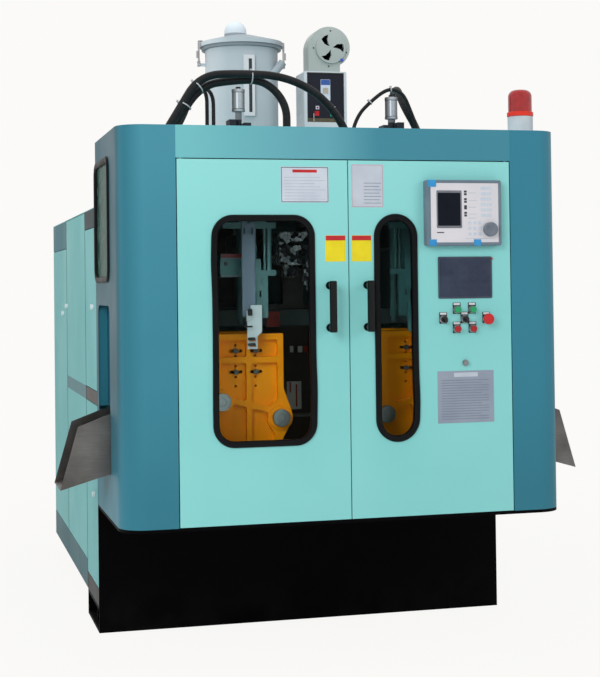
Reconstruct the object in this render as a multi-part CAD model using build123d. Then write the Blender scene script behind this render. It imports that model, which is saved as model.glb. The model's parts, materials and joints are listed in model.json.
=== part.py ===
from build123d import *
from math import cos, degrees, pi, radians, sin
import os

os.makedirs("parts", exist_ok=True)

# Double-station extrusion blow moulding machine, in millimetres. +X right, -Y front, +Z up, floor at Z = 0.
# The origin is the centre of the four anchor holes. Depths run back from the front of the enclosure.

# General sizes and clearances
sheet = 2.5
plate = 10.0
running = 0.05
soft_gap = 0.3
grip = 10.0
ring = 24.0

# Front doors, from the middle outwards: each leaf is as wide as what the right one carries
door_gap = 4.0
window_margin = 97.0
window_wide = 172.0
unit_gap = 27.0
unit_wide = 303.0
unit_margin = 47.0
left_window_inner = 129.0
left_window_outer = 126.0
column_wide = 209.0
corner_r = 98.0
door_deep = 28.0
hinge_in = 14.0
hinge_deep = 9.0
pin_r = 6.0
door_edge = door_gap / 2 + window_margin + window_wide + unit_gap + unit_wide + unit_margin
column_inner = door_edge + door_gap
half_width = column_inner + column_wide
door_axis = door_edge - hinge_in

# Heights, from the bed upwards
bed_z = 521.0
bed_thick = 12.0
rail_tall = 30.0
shoe_tall = 24.0
platen_tall = 638.0
blow_tall = 449.0
head_room = 325.0
header_tall = 120.0
cabinet_drop = 259.0
channel_tall = 106.0
bed_low = bed_z - bed_thick
rail_top = bed_z + rail_tall
table_z = rail_top + shoe_tall
platen_top = table_z + platen_tall
enclosure_top = platen_top + blow_tall + head_room
roof_low = enclosure_top - sheet
header_z = enclosure_top - header_tall
cabinet_top = enclosure_top - cabinet_drop
door_z0 = bed_z + door_gap / 2
door_z1 = header_z - door_gap

# Depths, from the front backwards
platen_front = 235.0
platen_thick = 60.0
daylight = 305.0
fixed_thick = 45.0
pin_reach = 147.0
back_room = 109.0
head_reach = 118.0
barrel_long = 1390.0
gearbox_long = 260.0
motor_long = 290.0
rear_room = 127.0
throat_in = 120.0
fixed_platen = platen_front + platen_thick + daylight
mould_depth = platen_front + platen_thick + pin_reach
enclosure_depth = fixed_platen + back_room
barrel_start = mould_depth + head_reach
barrel_end = barrel_start + barrel_long
drive_end = barrel_end + gearbox_long + motor_long
machine_depth = drive_end + rear_room
hopper_d = barrel_end - throat_in

# Rear cabinet
column_deep = 394.5
side_deep = 24.0
side_hinge_in = 10.0
side_hinge_deep = 7.0
side_pin_r = 4.0
side_gap = 3.5
post_in = 31.0
post_size = 40.0
plinth_tall = 71.0
side_plinth_tall = 120.0
cab_start = enclosure_depth + plate
cab_rear = machine_depth - sheet
column_end = cab_start + column_deep
post_face = half_width - post_in
post_inner = post_face - post_size
plinth_top = channel_tall + plinth_tall
side_plinth_top = channel_tall + side_plinth_tall

# Anchor holes
anchor_in = 59.0
anchor_side = 221.0
anchor_r = 11.0
anchor_x = half_width - anchor_side
anchor_y = (machine_depth - enclosure_depth) / 2 - anchor_in
front_y = -(machine_depth + enclosure_depth) / 2

# Clamping stations: places in a station count from its middle and from its table
station_x = 332.0
table_half = 130.0
table_thick = 25.0
tie_inner = (119.0, 314.0)
tie_outer = (-112.0, 381.0)
ram = (4.0, 347.0)
tie_r = 28.0
boss_r = 47.0
ram_r = 30.0
cylinder_r = 66.0
pocket_deep = 22.0
yoke_gap = 25.0
cylinder_long = 235.0
yoke_thick = 40.0

# Blow-pin units: places in a unit count from the pin's axis and from the top of the platens
pin_x = 320.0
guide_half = 20.0
shaft_r = 12.0

# Extruder
barrel_rise = 332.0
screw_r = 30.0
journal_r = 24.0
throat_r = 38.0
beam_tall = 66.0
saddle_tall = 248.0
barrel_z = platen_top + barrel_rise
beam_top = barrel_z - saddle_tall
throat_top = barrel_z + 103.0

# Hopper dryer, control box and blower
hopper_r = 180.0
hopper_wall = 3.0
cone_tall = 282.0
shell_tall = 838.0
collar_tall = 14.0
lid_r = 206.0
lid_thick = 22.0
clamp_out = 35.0
clamp_drop = 74.0
clamp_pin = 3.0
case_gap = 106.0
case_wide = 218.0
case_deep = 160.0
case_lift = 352.0
case_tall = 376.0
fan_deep = 100.0
shell_top = cabinet_top + shell_tall
lid_z = shell_top + collar_tall
case_x0 = hopper_r + case_gap
case_x1 = case_x0 + case_wide
case_d0 = hopper_d - 130.0
case_d1 = case_d0 + case_deep
case_z0 = cabinet_top + case_lift
case_z1 = case_z0 + case_tall


def at(depth):
    """Row Y of a point that lies this far behind the front of the enclosure."""
    return front_y + depth


def box(x0, x1, d0, d1, z0, z1):
    """A block from its limits in X, depth behind the front, and Z."""
    return Pos((x0 + x1) / 2, at((d0 + d1) / 2), (z0 + z1) / 2) * Box(x1 - x0, d1 - d0, z1 - z0)


def rod_z(x, d, z0, z1, r):
    return Pos(x, at(d), (z0 + z1) / 2) * Cylinder(r, z1 - z0)


def rod_y(x, z, d0, d1, r):
    return Pos(x, at((d0 + d1) / 2), z) * Rot(90, 0, 0) * Cylinder(r, d1 - d0)


def rod_x(d, z, x0, x1, r):
    return Pos((x0 + x1) / 2, at(d), z) * Rot(0, 90, 0) * Cylinder(r, x1 - x0)


def slab_y(face, d0, d1):
    """A face drawn in X and Z, made solid between two depths."""
    return Pos(0, at(d1), 0) * extrude(Plane.XZ * face, amount=d1 - d0)


def slab_x(face, x0, x1):
    """A face drawn in row Y and Z, made solid between two X values."""
    return Pos(x0, 0, 0) * extrude(Plane.YZ * face, amount=x1 - x0)


def rounded(u0, u1, v0, v1, r):
    return Pos((u0 + u1) / 2, (v0 + v1) / 2) * RectangleRounded(u1 - u0, v1 - v0, r)


def outline(points):
    return make_face(Polyline(*points, close=True))


def other_side(shape):
    return mirror(shape, about=Plane.YZ)


def save(name, shape):
    export_step(shape, "parts/" + name + ".step")
    print(name, round(shape.volume / 1000.0, 1), "cm3")


# Base frame: welded black channels, front plate, webs that carry the bed, and foot plates with anchor holes
web_in = half_width - 82
channel_in = half_width - 161
foot_in = anchor_x - 80
flange = 14.0
cross_d = enclosure_depth + 385
cross_end = cross_d + plate
frame_rear = machine_depth - 7
base = box(-half_width, half_width, enclosure_depth, cab_start, 0, bed_low)
base += box(-web_in, web_in, cross_d, cross_end, 0, bed_low)
for s in (-1, 1):
    for part in (
        (web_in, web_in + plate, cab_start, cross_end, 0, bed_low),
        (web_in, half_width, cab_start, cross_end, 0, flange),
        (web_in, half_width, cab_start, cross_end, channel_tall - flange, channel_tall),
        (web_in + plate, half_width, cross_d, cross_end, flange, channel_tall - flange),
        (web_in + plate, half_width - 15, cab_start + 181, cab_start + 191, flange, channel_tall - flange),
        (web_in - 1, web_in + 11, cross_end, frame_rear, 0, channel_tall),
        (channel_in, web_in - 1, cross_end, frame_rear, 0, flange),
        (channel_in, post_face, cross_end, frame_rear + 4, channel_tall - 12, channel_tall),
        (foot_in, web_in - 1, frame_rear - 120, frame_rear, 0, 20),
        (foot_in, web_in, cab_start, cab_start + 121, 0, 20),
    ):
        x0, x1 = sorted((s * part[0], s * part[1]))
        base += box(x0, x1, *part[2:])
base += box(-web_in + 1, web_in - 1, frame_rear - 140, frame_rear - 128, flange, channel_tall - 12)
tank_d0 = column_end + 146.5
tank_d1 = tank_d0 + 480
for d in (tank_d0 + 40, tank_d1 - 60):
    base += box(-web_in + 1, web_in - 1, d, d + 12, flange, channel_tall)
for s in (-1, 1):
    for t in (-1, 1):
        base -= Pos(s * anchor_x, t * anchor_y, 10) * Cylinder(anchor_r, 30)
save("base_frame", base)

# Bed: cantilevered plate with gussets, shift rails, and the lower door pins
bed_end = cross_end - 4
bed = box(-half_width, half_width, corner_r, enclosure_depth, bed_low, bed_z)
bed += box(-half_width + corner_r, half_width - corner_r, 0, corner_r, bed_low, bed_z)
for s in (-1, 1):
    bed += rod_z(s * (half_width - corner_r), corner_r, bed_low, bed_z, corner_r)
bed += box(-half_width + 81, half_width - 81, enclosure_depth, bed_end, bed_low, bed_z)
gusset = outline([(at(enclosure_depth), bed_low - 97), (at(enclosure_depth), bed_low), (at(330), bed_low)])
for x in (-half_width + 155, -306, 294, half_width - 167):
    bed += slab_x(gusset, x, x + 12)
rail_depths = (mould_depth - 112, mould_depth + 408)
rail_half = 15.0
for d in rail_depths:
    bed += box(-door_edge + 28, door_edge - 28, d - 27, d + 27, bed_z, bed_z + 8)
    bed += box(-door_edge + 28, door_edge - 28, d - rail_half, d + rail_half, bed_z + 8, rail_top)
for s in (-1, 1):
    bed += rod_z(s * door_axis, hinge_deep, bed_z, door_z0, pin_r + 2)
    bed += rod_z(s * door_axis, hinge_deep, door_z0, door_z0 + 20, pin_r)
save("enclosure_bed", bed)

# Corner walls: each is one folded sheet with a rounded front corner, a side window and a discharge opening
win_d = (enclosure_depth - 439, enclosure_depth - 9)
win_z = (enclosure_top - 571, enclosure_top - 88)
chute_d = (mould_depth - 142, mould_depth + 108)
chute_z = bed_z + 170
opening_d = (chute_d[0] - 10, chute_d[1] + 100)
opening_top = win_z[0] - 88


def corner_wall():
    z0, z1 = bed_z, enclosure_top
    tall = z1 - z0
    turn = Pos(-half_width + corner_r, at(corner_r), (z0 + z1) / 2)
    wall = turn * Cylinder(corner_r, tall) - turn * Cylinder(corner_r - sheet, tall)
    wall &= box(-half_width, -half_width + corner_r, 0, corner_r, z0, z1)
    wall += box(-half_width + corner_r, -column_inner, 0, sheet, z0, z1)
    wall += box(-half_width, -half_width + sheet, corner_r, enclosure_depth, z0, z1)
    wall += box(-column_inner - sheet, -column_inner, 0, 34, z0, z1 - sheet)
    wall += box(-half_width, -half_width + 40, enclosure_depth - sheet, enclosure_depth, z0, z1)
    hole = rounded(at(win_d[0] + grip), at(win_d[1] - grip), win_z[0] + grip, win_z[1] - grip, 50)
    wall -= slab_x(hole, -half_width - 5, -half_width + 10)
    for low, high, r in ((chute_z + 69, opening_top, 40), (chute_z - 5, chute_z + 169, 10)):
        cut = rounded(at(opening_d[0]), at(opening_d[1]), low, high, r)
        wall -= slab_x(cut, -half_width - 5, -half_width + 10)
    x0, x1 = -half_width + sheet, -half_width + 40
    d0, d1 = opening_d[0] - 4, opening_d[1] + 4
    pocket = box(x0, x1, d0, d1, chute_z + 234, opening_top + 4)
    pocket -= box(x0 - 1, x1 - sheet, d0 + 4, d1 - 4, chute_z + 229, opening_top)
    wall += pocket
    wall += rod_x(mould_depth - 25, opening_top - 148, x1 - sheet - 11, x1 - sheet, 12)
    return wall


left_wall = corner_wall()
save("corner_wall_left", left_wall)
save("corner_wall_right", other_side(left_wall))

# Windows: each rubber ring has a groove outside for the sheet and one inside for the pane
pane_thick = 5.0
pane_at = sheet + 1
pane_in = ring - 8
lip_out = 9.0
lip_in = 11.0


def window_ring(slab, face, u, v, r):
    """The ring round an opening in a sheet whose outer face is at this place along the slab's axis."""
    whole = slab(rounded(u[0], u[1], v[0], v[1], r), face - lip_out, face + lip_in)
    inner = rounded(u[0] + ring, u[1] - ring, v[0] + ring, v[1] - ring, r - ring)
    whole -= slab(inner, face - lip_out - 1, face + lip_in + 1)
    full = slab(rounded(u[0] - 5, u[1] + 5, v[0] - 5, v[1] + 5, r + 5), face, face + sheet)
    kept = rounded(u[0] + grip, u[1] - grip, v[0] + grip, v[1] - grip, r - grip)
    whole -= full - slab(kept, face - 1, face + sheet + 1)
    return whole - window_pane(slab, face, u, v, r)


def window_pane(slab, face, u, v, r):
    shape = rounded(u[0] + pane_in, u[1] - pane_in, v[0] + pane_in, v[1] - pane_in, r - pane_in)
    return slab(shape, face + pane_at, face + pane_at + pane_thick)


side_u = (at(win_d[0]), at(win_d[1]))
side_ring = window_ring(slab_x, -half_width, side_u, win_z, 60)
side_pane = window_pane(slab_x, -half_width, side_u, win_z, 60)
panes = [*side_ring.solids(), *side_pane.solids()]
panes += [*other_side(side_ring).solids(), *other_side(side_pane).solids()]
save("side_windows", Compound(panes))

# Roof of the enclosure: roof sheet, header band over the doors, back wall above the cabinets, hinge pins,
# and the collars that the cylinders stand on
bend_x = half_width - corner_r
roof = box(-bend_x, bend_x, sheet, enclosure_depth - sheet, roof_low, enclosure_top)
for s in (-1, 1):
    x0, x1 = sorted((s * bend_x, s * (half_width - sheet)))
    roof += box(x0, x1, corner_r, enclosure_depth - sheet, roof_low, enclosure_top)
    disc = rod_z(s * bend_x, corner_r, roof_low, enclosure_top, corner_r - sheet - soft_gap)
    roof += disc & box(x0, x1, 0, corner_r, roof_low, enclosure_top)
roof += box(-column_inner, column_inner, 0, sheet, header_z, enclosure_top)
roof += box(-column_inner, column_inner, 0, 50, header_z, header_z + sheet)
back_x = half_width - 40
roof += box(-back_x, back_x, enclosure_depth - sheet, enclosure_depth, cabinet_top, enclosure_top)
for s in (-1, 1):
    roof += rod_z(s * door_axis, hinge_deep, door_z1 - 18, header_z, pin_r)
    roof -= rod_z(s * pin_x, mould_depth, roof_low - 1, enclosure_top + 1, shaft_r + 4)
save("enclosure_roof", roof)

# Front doors: pans with folded edges, a window opening, pivot blocks, and holes for the button stems
unit_x0 = door_gap / 2 + window_margin + window_wide + unit_gap
unit_x1 = unit_x0 + unit_wide
unit_z1 = door_z1 - 73
unit_z0 = unit_z1 - 250
pad_z1 = unit_z0 - 41
pad_z0 = pad_z1 - 159
stem_r = 5.0
collar_r = 14.5
head_r = 12.5
collar_deep = 16.0
button_spots = {
    "green_button_left": (unit_x0 + 128, pad_z0 - 43),
    "green_button_right": (unit_x0 + 190, pad_z0 - 43),
    "red_button_left": (unit_x0 + 127, pad_z0 - 116),
    "red_button_right": (unit_x0 + 191, pad_z0 - 116),
    "stop_button": (unit_x0 + 248, pad_z0 - 80),
    "selector_left": (unit_x0 + 73, pad_z0 - 79),
    "selector_right": (unit_x0 + 159, pad_z0 - 79),
}
left_u = (-door_edge + left_window_outer, -door_gap / 2 - left_window_inner)
left_v = (door_z0 + 281, door_z1 - 204)
left_r = 80.0
right_u = (door_gap / 2 + window_margin, door_gap / 2 + window_margin + window_wide)
right_v = (door_z0 + 280, door_z1 - 200)
right_r = window_wide / 2 - 0.1


def door(s, u, v, r):
    x0, x1 = sorted((s * door_edge, s * door_gap / 2))
    leaf = box(x0, x1, 0, door_deep, door_z0, door_z1)
    leaf -= box(x0 + sheet, x1 - sheet, sheet, door_deep + 1, door_z0 + sheet, door_z1 - sheet)
    leaf -= slab_y(rounded(u[0] + grip, u[1] - grip, v[0] + grip, v[1] - grip, r - grip), -1, sheet + 1)
    b0, b1 = sorted((s * (door_edge - sheet), s * (door_axis - 12)))
    for z0, z1 in ((door_z0 + sheet, door_z0 + 20), (door_z1 - 20, door_z1 - sheet)):
        leaf += box(b0, b1, sheet, door_deep, z0, z1)
    for z0, z1 in ((door_z0 - 1, door_z0 + 21), (door_z1 - 21, door_z1 + 1)):
        leaf -= rod_z(s * door_axis, hinge_deep, z0, z1, pin_r + running)
    return leaf


def handle(x):
    low, high = door_z1 - 642, door_z1 - 451
    grip_bar = rod_z(x, -50, low, high, 14)
    grip_bar = fillet(grip_bar.edges().filter_by(GeomType.CIRCLE), 4)
    for z in (low + 17, high - 17):
        grip_bar += rod_y(x, z, -50, -6, 10)
        grip_bar += rod_y(x, z, -6, 0, 15)
    return grip_bar


def door_window(u, v, r):
    frame = window_ring(slab_y, 0, u, v, r)
    return Compound([*frame.solids(), *window_pane(slab_y, 0, u, v, r).solids()])


right_leaf = door(1, right_u, right_v, right_r)
for x, z in button_spots.values():
    right_leaf -= rod_y(x, z, -1, sheet + 1, stem_r + 3)
save("door_left", door(-1, left_u, left_v, left_r))
save("door_right", right_leaf)
save("door_left_window", door_window(left_u, left_v, left_r))
save("door_right_window", door_window(right_u, right_v, right_r))
save("door_left_handle", handle(-door_gap / 2 - 74))
save("door_right_handle", handle(door_gap / 2 + 68))

# Operator controls on the right door: control unit, keypad unit, button collars on legend plates, key lock
unit_deep = 35.0
knob_stem = 4.0
knob_spot = (unit_x1 - 49, unit_z0 + 62)
bezel_x = (unit_x0 + 41, unit_x0 + 142)
bezel_z = (unit_z1 - 183, unit_z1 - 40)
unit = slab_y(rounded(unit_x0, unit_x1, unit_z0, unit_z1, 6), -unit_deep, 0)
face = rounded(unit_x0 + 18, unit_x1 - 12, unit_z0 + 13, unit_z1 - 12, 3)
unit -= slab_y(face, -unit_deep - 1, 2 - unit_deep)
unit += slab_y(rounded(*bezel_x, *bezel_z, 2), 0.5 - unit_deep, 2 - unit_deep)
screen = rounded(bezel_x[0] + 5, bezel_x[1] - 5, bezel_z[0] + 9, bezel_z[1] - 9, 1)
unit -= slab_y(screen, -unit_deep, 1.5 - unit_deep)
unit -= rod_y(*knob_spot, 1 - unit_deep, 15 - unit_deep, knob_stem + running)
keypad = slab_y(rounded(unit_x0 + 55, unit_x1 - 30, pad_z0, pad_z1, 5), -4, 0)
keypad += slab_y(rounded(unit_x0 + 63, unit_x1 - 38, pad_z0 + 8, pad_z1 - 8, 3), -5, -4)
lock_spot = (unit_x0 + 161, pad_z0 - 246)
lock = rod_y(*lock_spot, -4, 0, 13) + rod_y(*lock_spot, -14, -4, 9)
controls = [*unit.solids(), *keypad.solids(), *lock.solids()]
for x, z in button_spots.values():
    legend = slab_y(rounded(x - collar_r - 1, x + collar_r + 1, z - collar_r - 1.5, z + 27, 2), -2, 0)
    legend += rod_y(x, z, -collar_deep, 0, collar_r)
    legend -= rod_y(x, z, -collar_deep - 1, -5, head_r + running)
    legend -= rod_y(x, z, -6, 1, stem_r + running)
    controls += legend.solids()
save("operator_controls", Compound(controls))

knob = rod_y(*knob_spot, -56, 1 - unit_deep, 27)
knob = fillet(knob.edges().group_by(Axis.Y)[0], 4)
knob += rod_y(*knob_spot, 1 - unit_deep, 14 - unit_deep, knob_stem)
knob -= rod_y(knob_spot[0] - 15, knob_spot[1] + 9, -57, -54.5, 5)
save("operator_knob", knob)

for name, (x, z) in button_spots.items():
    if name == "stop_button":
        cap = rod_y(x, z, -collar_deep - 20, -collar_deep - 6, 21)
        cap = fillet(cap.edges().group_by(Axis.Y)[0], 6)
        cap += rod_y(x, z, -collar_deep - 6, -11, 9)
        cap += rod_y(x, z, -11, 12, stem_r)
    elif name.startswith("selector"):
        cap = rod_y(x, z, -collar_deep - 3, -6, head_r)
        lever = Pos(x, z) * Rot(0, 0, 35) * RectangleRounded(8, 23, 3)
        cap += slab_y(lever, -collar_deep - 15, -collar_deep - 3)
        cap += rod_y(x, z, -6, 12, stem_r)
    else:
        cap = rod_y(x, z, -collar_deep - 5, -10, head_r)
        cap = fillet(cap.edges().group_by(Axis.Y)[0], 1.2)
        cap += rod_y(x, z, -10, 12, stem_r)
    save(name, cap)

# Discharge chutes: one folded stainless tray each, sloping outwards to a slanted end
chute_out = 189.0
chute_inner = station_x + 188
chute_side = [
    (-half_width - 1, chute_z), (-half_width - chute_out, chute_z - 54), (-half_width - 121, chute_z + 183),
    (-half_width, chute_z + 228), (-half_width + 46, chute_z + 228), (-chute_inner, chute_z + 309),
    (-chute_inner, chute_z + 102.5),
]
chute_floor = [
    (-half_width - chute_out, chute_z - 54), (-half_width - 1, chute_z), (-chute_inner, chute_z + 102.5),
    (-chute_inner, chute_z + 105), (-half_width - 1, chute_z + 2.6),
    (-half_width - chute_out + 0.7, chute_z - 51.5),
]
chute = slab_y(outline(chute_side), chute_d[0], chute_d[0] + sheet)
chute += slab_y(outline(chute_side), chute_d[1] - sheet, chute_d[1])
chute += slab_y(outline(chute_floor), chute_d[0], chute_d[1])
inner_face = -half_width + sheet
chute += box(inner_face, inner_face + sheet, chute_d[0] - 20, chute_d[1] + 20, chute_z - 51, chute_z + 2.6)
save("chute_left", chute)
save("chute_right", other_side(chute))


# Clamping stations: carriage with the fixed platen and cylinder, moving platen, tie bars with yoke and ram
def in_station(points):
    """Left station: points that count from its middle and from its table, as X and Z."""
    return [(x - station_x, z + table_z) for x, z in points]


tie_spots = in_station([tie_inner, tie_outer])
ram_spot = in_station([ram])[0]
platen_edge = in_station([
    (-133, platen_tall), (133, platen_tall), (133, 425), (164, 340), (166, 310), (152, 277), (126, 230),
    (92, 165), (70, 65), (-70, 65), (-104, 185), (-146, 345), (-159, 390), (-133, 485),
])
pockets = [
    [(-115, 550), (-13, 550), (-13, 615), (-115, 615)],
    [(7, 550), (111, 550), (111, 615), (7, 615)],
    [(-115, 527), (-13, 527), (-13, 380), (-66, 397), (-115, 455)],
    [(7, 527), (111, 527), (111, 387), (77, 357), (7, 375)],
    [(-13, 357), (-13, 90), (-53, 90), (-86, 195), (-108, 310), (-70, 373)],
    [(7, 352), (70, 335), (70, 295), (100, 245), (70, 165), (52, 90), (7, 90)],
]
bolt_spots = in_station([(-51, 573), (27, 573), (-51, 492), (27, 492)])
platen_back = platen_front + platen_thick
boss_front = platen_front - 8


def pocket_cut(points):
    face = fillet(outline(in_station(points)).vertices(), 9)
    return slab_y(face, platen_front - 1, platen_front + pocket_deep)


platen = slab_y(outline(platen_edge), platen_front, platen_back)
for x, z in tie_spots:
    platen += rod_y(x, z, boss_front, platen_back, boss_r)
for points in pockets:
    platen -= pocket_cut(points)
for x, z in bolt_spots:
    platen -= slab_y(rounded(x - 27, x + 27, z - 6, z + 6, 5.5), platen_front - 5, platen_back + 5)
    for dz in (22, -19):
        platen -= rod_y(x, z + dz, platen_front - 5, platen_back + 5, 5)
    platen += rod_y(x, z, platen_front + 10, platen_back, 10)
    platen += rod_y(x, z, platen_front + 4, platen_front + 12, 7)
for x, z in in_station([(-51, 438), (27, 438)]):
    platen -= rod_y(x, z, platen_front - 5, platen_back + 5, 5)
for x, z in tie_spots:
    platen -= rod_y(x, z, boss_front - 5, platen_back + 5, tie_r + running)
save("clamp_platen_left", platen)
save("clamp_platen_right", other_side(platen))

# The ram pulls the yoke back, and the tie bars draw the front platen towards the fixed one
cylinder_end = fixed_platen + fixed_thick + cylinder_long
yoke_at = cylinder_end + yoke_gap
bars = Part()
for x, z in tie_spots:
    bars += rod_y(x, z, boss_front, yoke_at + yoke_thick + 18, tie_r)
    cap = rod_y(x, z, boss_front - 16, boss_front, tie_r + 6)
    for k in range(3):
        a = radians(90 + 120 * k)
        cap -= rod_y(x + 21 * cos(a), z + 21 * sin(a), boss_front - 17, boss_front - 11, 4)
    cap -= rod_y(x, z, boss_front - 17, boss_front - 14, 9)
    bars += cap
yoke = in_station([(-160, 415), (-98, 429), (167, 360), (167, 275), (106, 265), (-160, 330)])
bars += slab_y(outline(yoke), yoke_at, yoke_at + yoke_thick)
bars += rod_y(*ram_spot, cylinder_end - 120, yoke_at, ram_r)
save("tie_bars_left", bars)
save("tie_bars_right", other_side(bars))

table_top = table_z + table_thick
table_d = (rail_depths[0] - 40, rail_depths[1] + 40)
table_x = (-station_x - table_half, -station_x + table_half)
slot = rail_half + soft_gap
carriage = box(*table_x, *table_d, table_z, table_top)
for d in rail_depths:
    shoe = box(table_x[0] + 10, table_x[1] - 10, d - 30, d + 30, bed_z + 10, table_z)
    shoe -= box(*table_x, d - slot, d + slot, bed_z + 9, rail_top + soft_gap)
    carriage += shoe
fixed_edge = [(x, max(z, table_top)) for x, z in platen_edge]
fixed_back = fixed_platen + fixed_thick
rear = slab_y(outline(fixed_edge), fixed_platen, fixed_back)
rear += box(-station_x - 70, -station_x + 70, fixed_platen, fixed_back, table_top, table_z + 70)
for x, z in tie_spots:
    rear += rod_y(x, z, fixed_platen, fixed_back + 25, boss_r)
    rear -= rod_y(x, z, fixed_platen - 1, fixed_back + 30, tie_r + running)
rib = outline([
    (at(fixed_back), table_top), (at(fixed_back + 215), table_top), (at(fixed_back + 215), table_top + 40),
    (at(fixed_back), table_top + 260),
])
for x in (-station_x - 86, -station_x + 76):
    rear += slab_x(rib, x, x + 15)
rear += rod_y(*ram_spot, fixed_back, cylinder_end, cylinder_r)
rear -= rod_y(*ram_spot, cylinder_end - 180, cylinder_end + 5, ram_r + running)
carriage += rear
save("clamp_carriage_left", carriage)
save("clamp_carriage_right", other_side(carriage))


# Blow-pin units: the slide carries the front plate, the cross bars, the rods, the bracket and the blow pin;
# the fixed frame hangs from the roof and holds the rail, the cylinder and a small valve box
def pin_box(x0, x1, d0, d1, z0, z1):
    """Left unit: a block that counts from the pin's axis and from the top of the platens."""
    return box(x0 - pin_x, x1 - pin_x, mould_depth + d0, mould_depth + d1, platen_top + z0, platen_top + z1)


def pin_slot(x0, x1, z0, z1, d0, d1):
    face = rounded(x0 - pin_x, x1 - pin_x, platen_top + z0, platen_top + z1, 3.9)
    return slab_y(face, mould_depth + d0, mould_depth + d1)


def pin_rod(x, d, z0, z1, r):
    return rod_z(x - pin_x, mould_depth + d, z0, z1, r)


arm_top = platen_top + blow_tall
arm_low = blow_tall - 22
slide = pin_box(-46, 5, -247, -235, 68, 423)
for x in (-46, -14):
    slide += pin_box(x, x + 19, -247, -235, 423, 436)
for x in (-36, -7):
    slide -= pin_slot(x - 4, x + 4, 381, 407, -252, -232)
slide += pin_box(-117, 91, -235, -211, 404, arm_low)
slide += pin_box(-50, 89, -235, -211, 223, 244)
slide += pin_rod(66, -223, platen_top + 244, platen_top + 404, 9)
slide += pin_rod(48, -223, platen_top + 244, platen_top + 404, 5)
slide += pin_box(9, 57, -235, -223, 61, 223)
slide -= pin_slot(23, 31, 187, 214, -242, -217)
slide -= pin_slot(23, 31, 141, 165, -242, -217)
slide += rod_y(27 - pin_x, platen_top + 176, mould_depth - 238, mould_depth - 223, 9)
notched = [
    (-32, 89), (-16, 89), (-16, 111), (27, 111), (27, 9), (9, -8), (9, -56), (-30, -56), (-30, 49), (2, 59),
    (-32, 49.5),
]
bracket = outline([(x - pin_x, z + platen_top) for x, z in notched])
bracket = slab_y(bracket, mould_depth - 255, mould_depth - 247)
for z in (-23, -44):
    bracket -= pin_slot(-24, 4, z - 4, z + 4, -262, -242)
slide += bracket
slide += pin_box(-30, 30, -235, -196, 167, 287)
groove = guide_half + soft_gap
slide -= pin_box(-groove, groove, -203 - soft_gap, -192, 157, 297)
for x in (-54, 29):
    slide += pin_box(x, x + 24, -235, 22, arm_low, blow_tall)
slide += pin_box(-54, 53, -235, -211, arm_low, blow_tall)
slide += pin_box(-54, 53, -22, 22, arm_low, blow_tall)
slide += pin_rod(0, 0, platen_top + 55, platen_top + arm_low, 15)
slide += pin_rod(0, 0, platen_top + 32, platen_top + 55, 10)
slide += pin_rod(0, 0, arm_top, enclosure_top - 37, shaft_r)
save("blow_slide_left", slide)
save("blow_slide_right", other_side(slide))


def blow_frame(lift):
    """The fixed frame; lift is the height of the cylinder's lower end over the roof."""
    up = roof_low - platen_top
    hang = pin_box(-25, 24, -192, -180, 59, 347)
    hang += pin_box(-guide_half, guide_half, -203, -192, 64, 337)
    hang += pin_box(-25, 24, -180, -168, 59, up)
    hang += pin_box(-60, 60, -180, -120, up - 12, up)
    hang += pin_box(-117, -25, -180, -174, 227, 287)
    hang += pin_box(-114, -32, -174, -112, 219, 309)
    tube = pin_rod(0, 0, roof_low - 164.5, roof_low, 34) + pin_rod(0, 0, roof_low - 12, roof_low, 60)
    tube -= pin_rod(0, 0, roof_low - 180, roof_low - 20, shaft_r + running)
    foot = pin_box(-62, 62, -40, 40, up + sheet, up + sheet + 34)
    foot += pin_box(-44, -16, -34, 34, up + sheet, up + sheet + 71)
    foot += pin_box(16, 44, -34, 34, up + sheet, up + sheet + 59)
    base_z = enclosure_top + lift
    body = pin_rod(0, 0, enclosure_top + 34, base_z, 13)
    body += pin_rod(0, 0, base_z, base_z + 88, 25)
    body += pin_rod(0, 0, base_z + 88, base_z + 98, 10)
    body += pin_rod(0, 0, roof_low, enclosure_top, shaft_r + 3.5)
    return Compound([*hang.solids(), *(tube + foot + body).solids()])


save("blow_frame_left", blow_frame(106))
save("blow_frame_right", other_side(blow_frame(87)))

# Extruder: die head, heated barrel with its screw, gearbox and motor on the cabinet's beams
head = box(-175, 175, mould_depth - 72, mould_depth + 73, barrel_z - 65, barrel_z + 65)
head = fillet(head.edges().filter_by(Axis.Y), 14)
head += rod_z(0, mould_depth, barrel_z - 145, barrel_z - 65, 62)
head += rod_z(0, mould_depth, barrel_z - 175, barrel_z - 145, 46)
for x in (-118, 118):
    head += rod_z(x, mould_depth, barrel_z - 115, barrel_z - 65, 32)
head -= rod_z(0, mould_depth, barrel_z - 180, barrel_z - 45, 20)
head += rod_y(0, barrel_z, mould_depth + 73, barrel_start, 66)
head += box(-40, 40, mould_depth - 42, mould_depth + 38, barrel_z + 65, roof_low)
head -= rod_y(0, barrel_z, mould_depth + 28, barrel_start + 1, screw_r)
save("die_head", head)

barrel = rod_y(0, barrel_z, barrel_start, barrel_start + 30, 90)
barrel += rod_y(0, barrel_z, barrel_start + 30, barrel_end, 58)
for k in range(5):
    band = barrel_start + 60 + 190 * k
    barrel += rod_y(0, barrel_z, band, band + 160, 78)
barrel += box(-75, 75, hopper_d - 80, hopper_d + 80, barrel_z - 75, throat_top)
for d in (barrel_start + 280, hopper_d - 40):
    barrel += box(-140, 140, d, d + 70, beam_top, beam_top + 20)
    barrel += box(-45, 45, d + 10, d + 60, beam_top + 20, barrel_z - 45)
barrel -= rod_y(0, barrel_z, barrel_start - 1, barrel_end + 1, screw_r + running)
barrel -= rod_z(0, hopper_d, barrel_z, throat_top + 2, throat_r)

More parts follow.
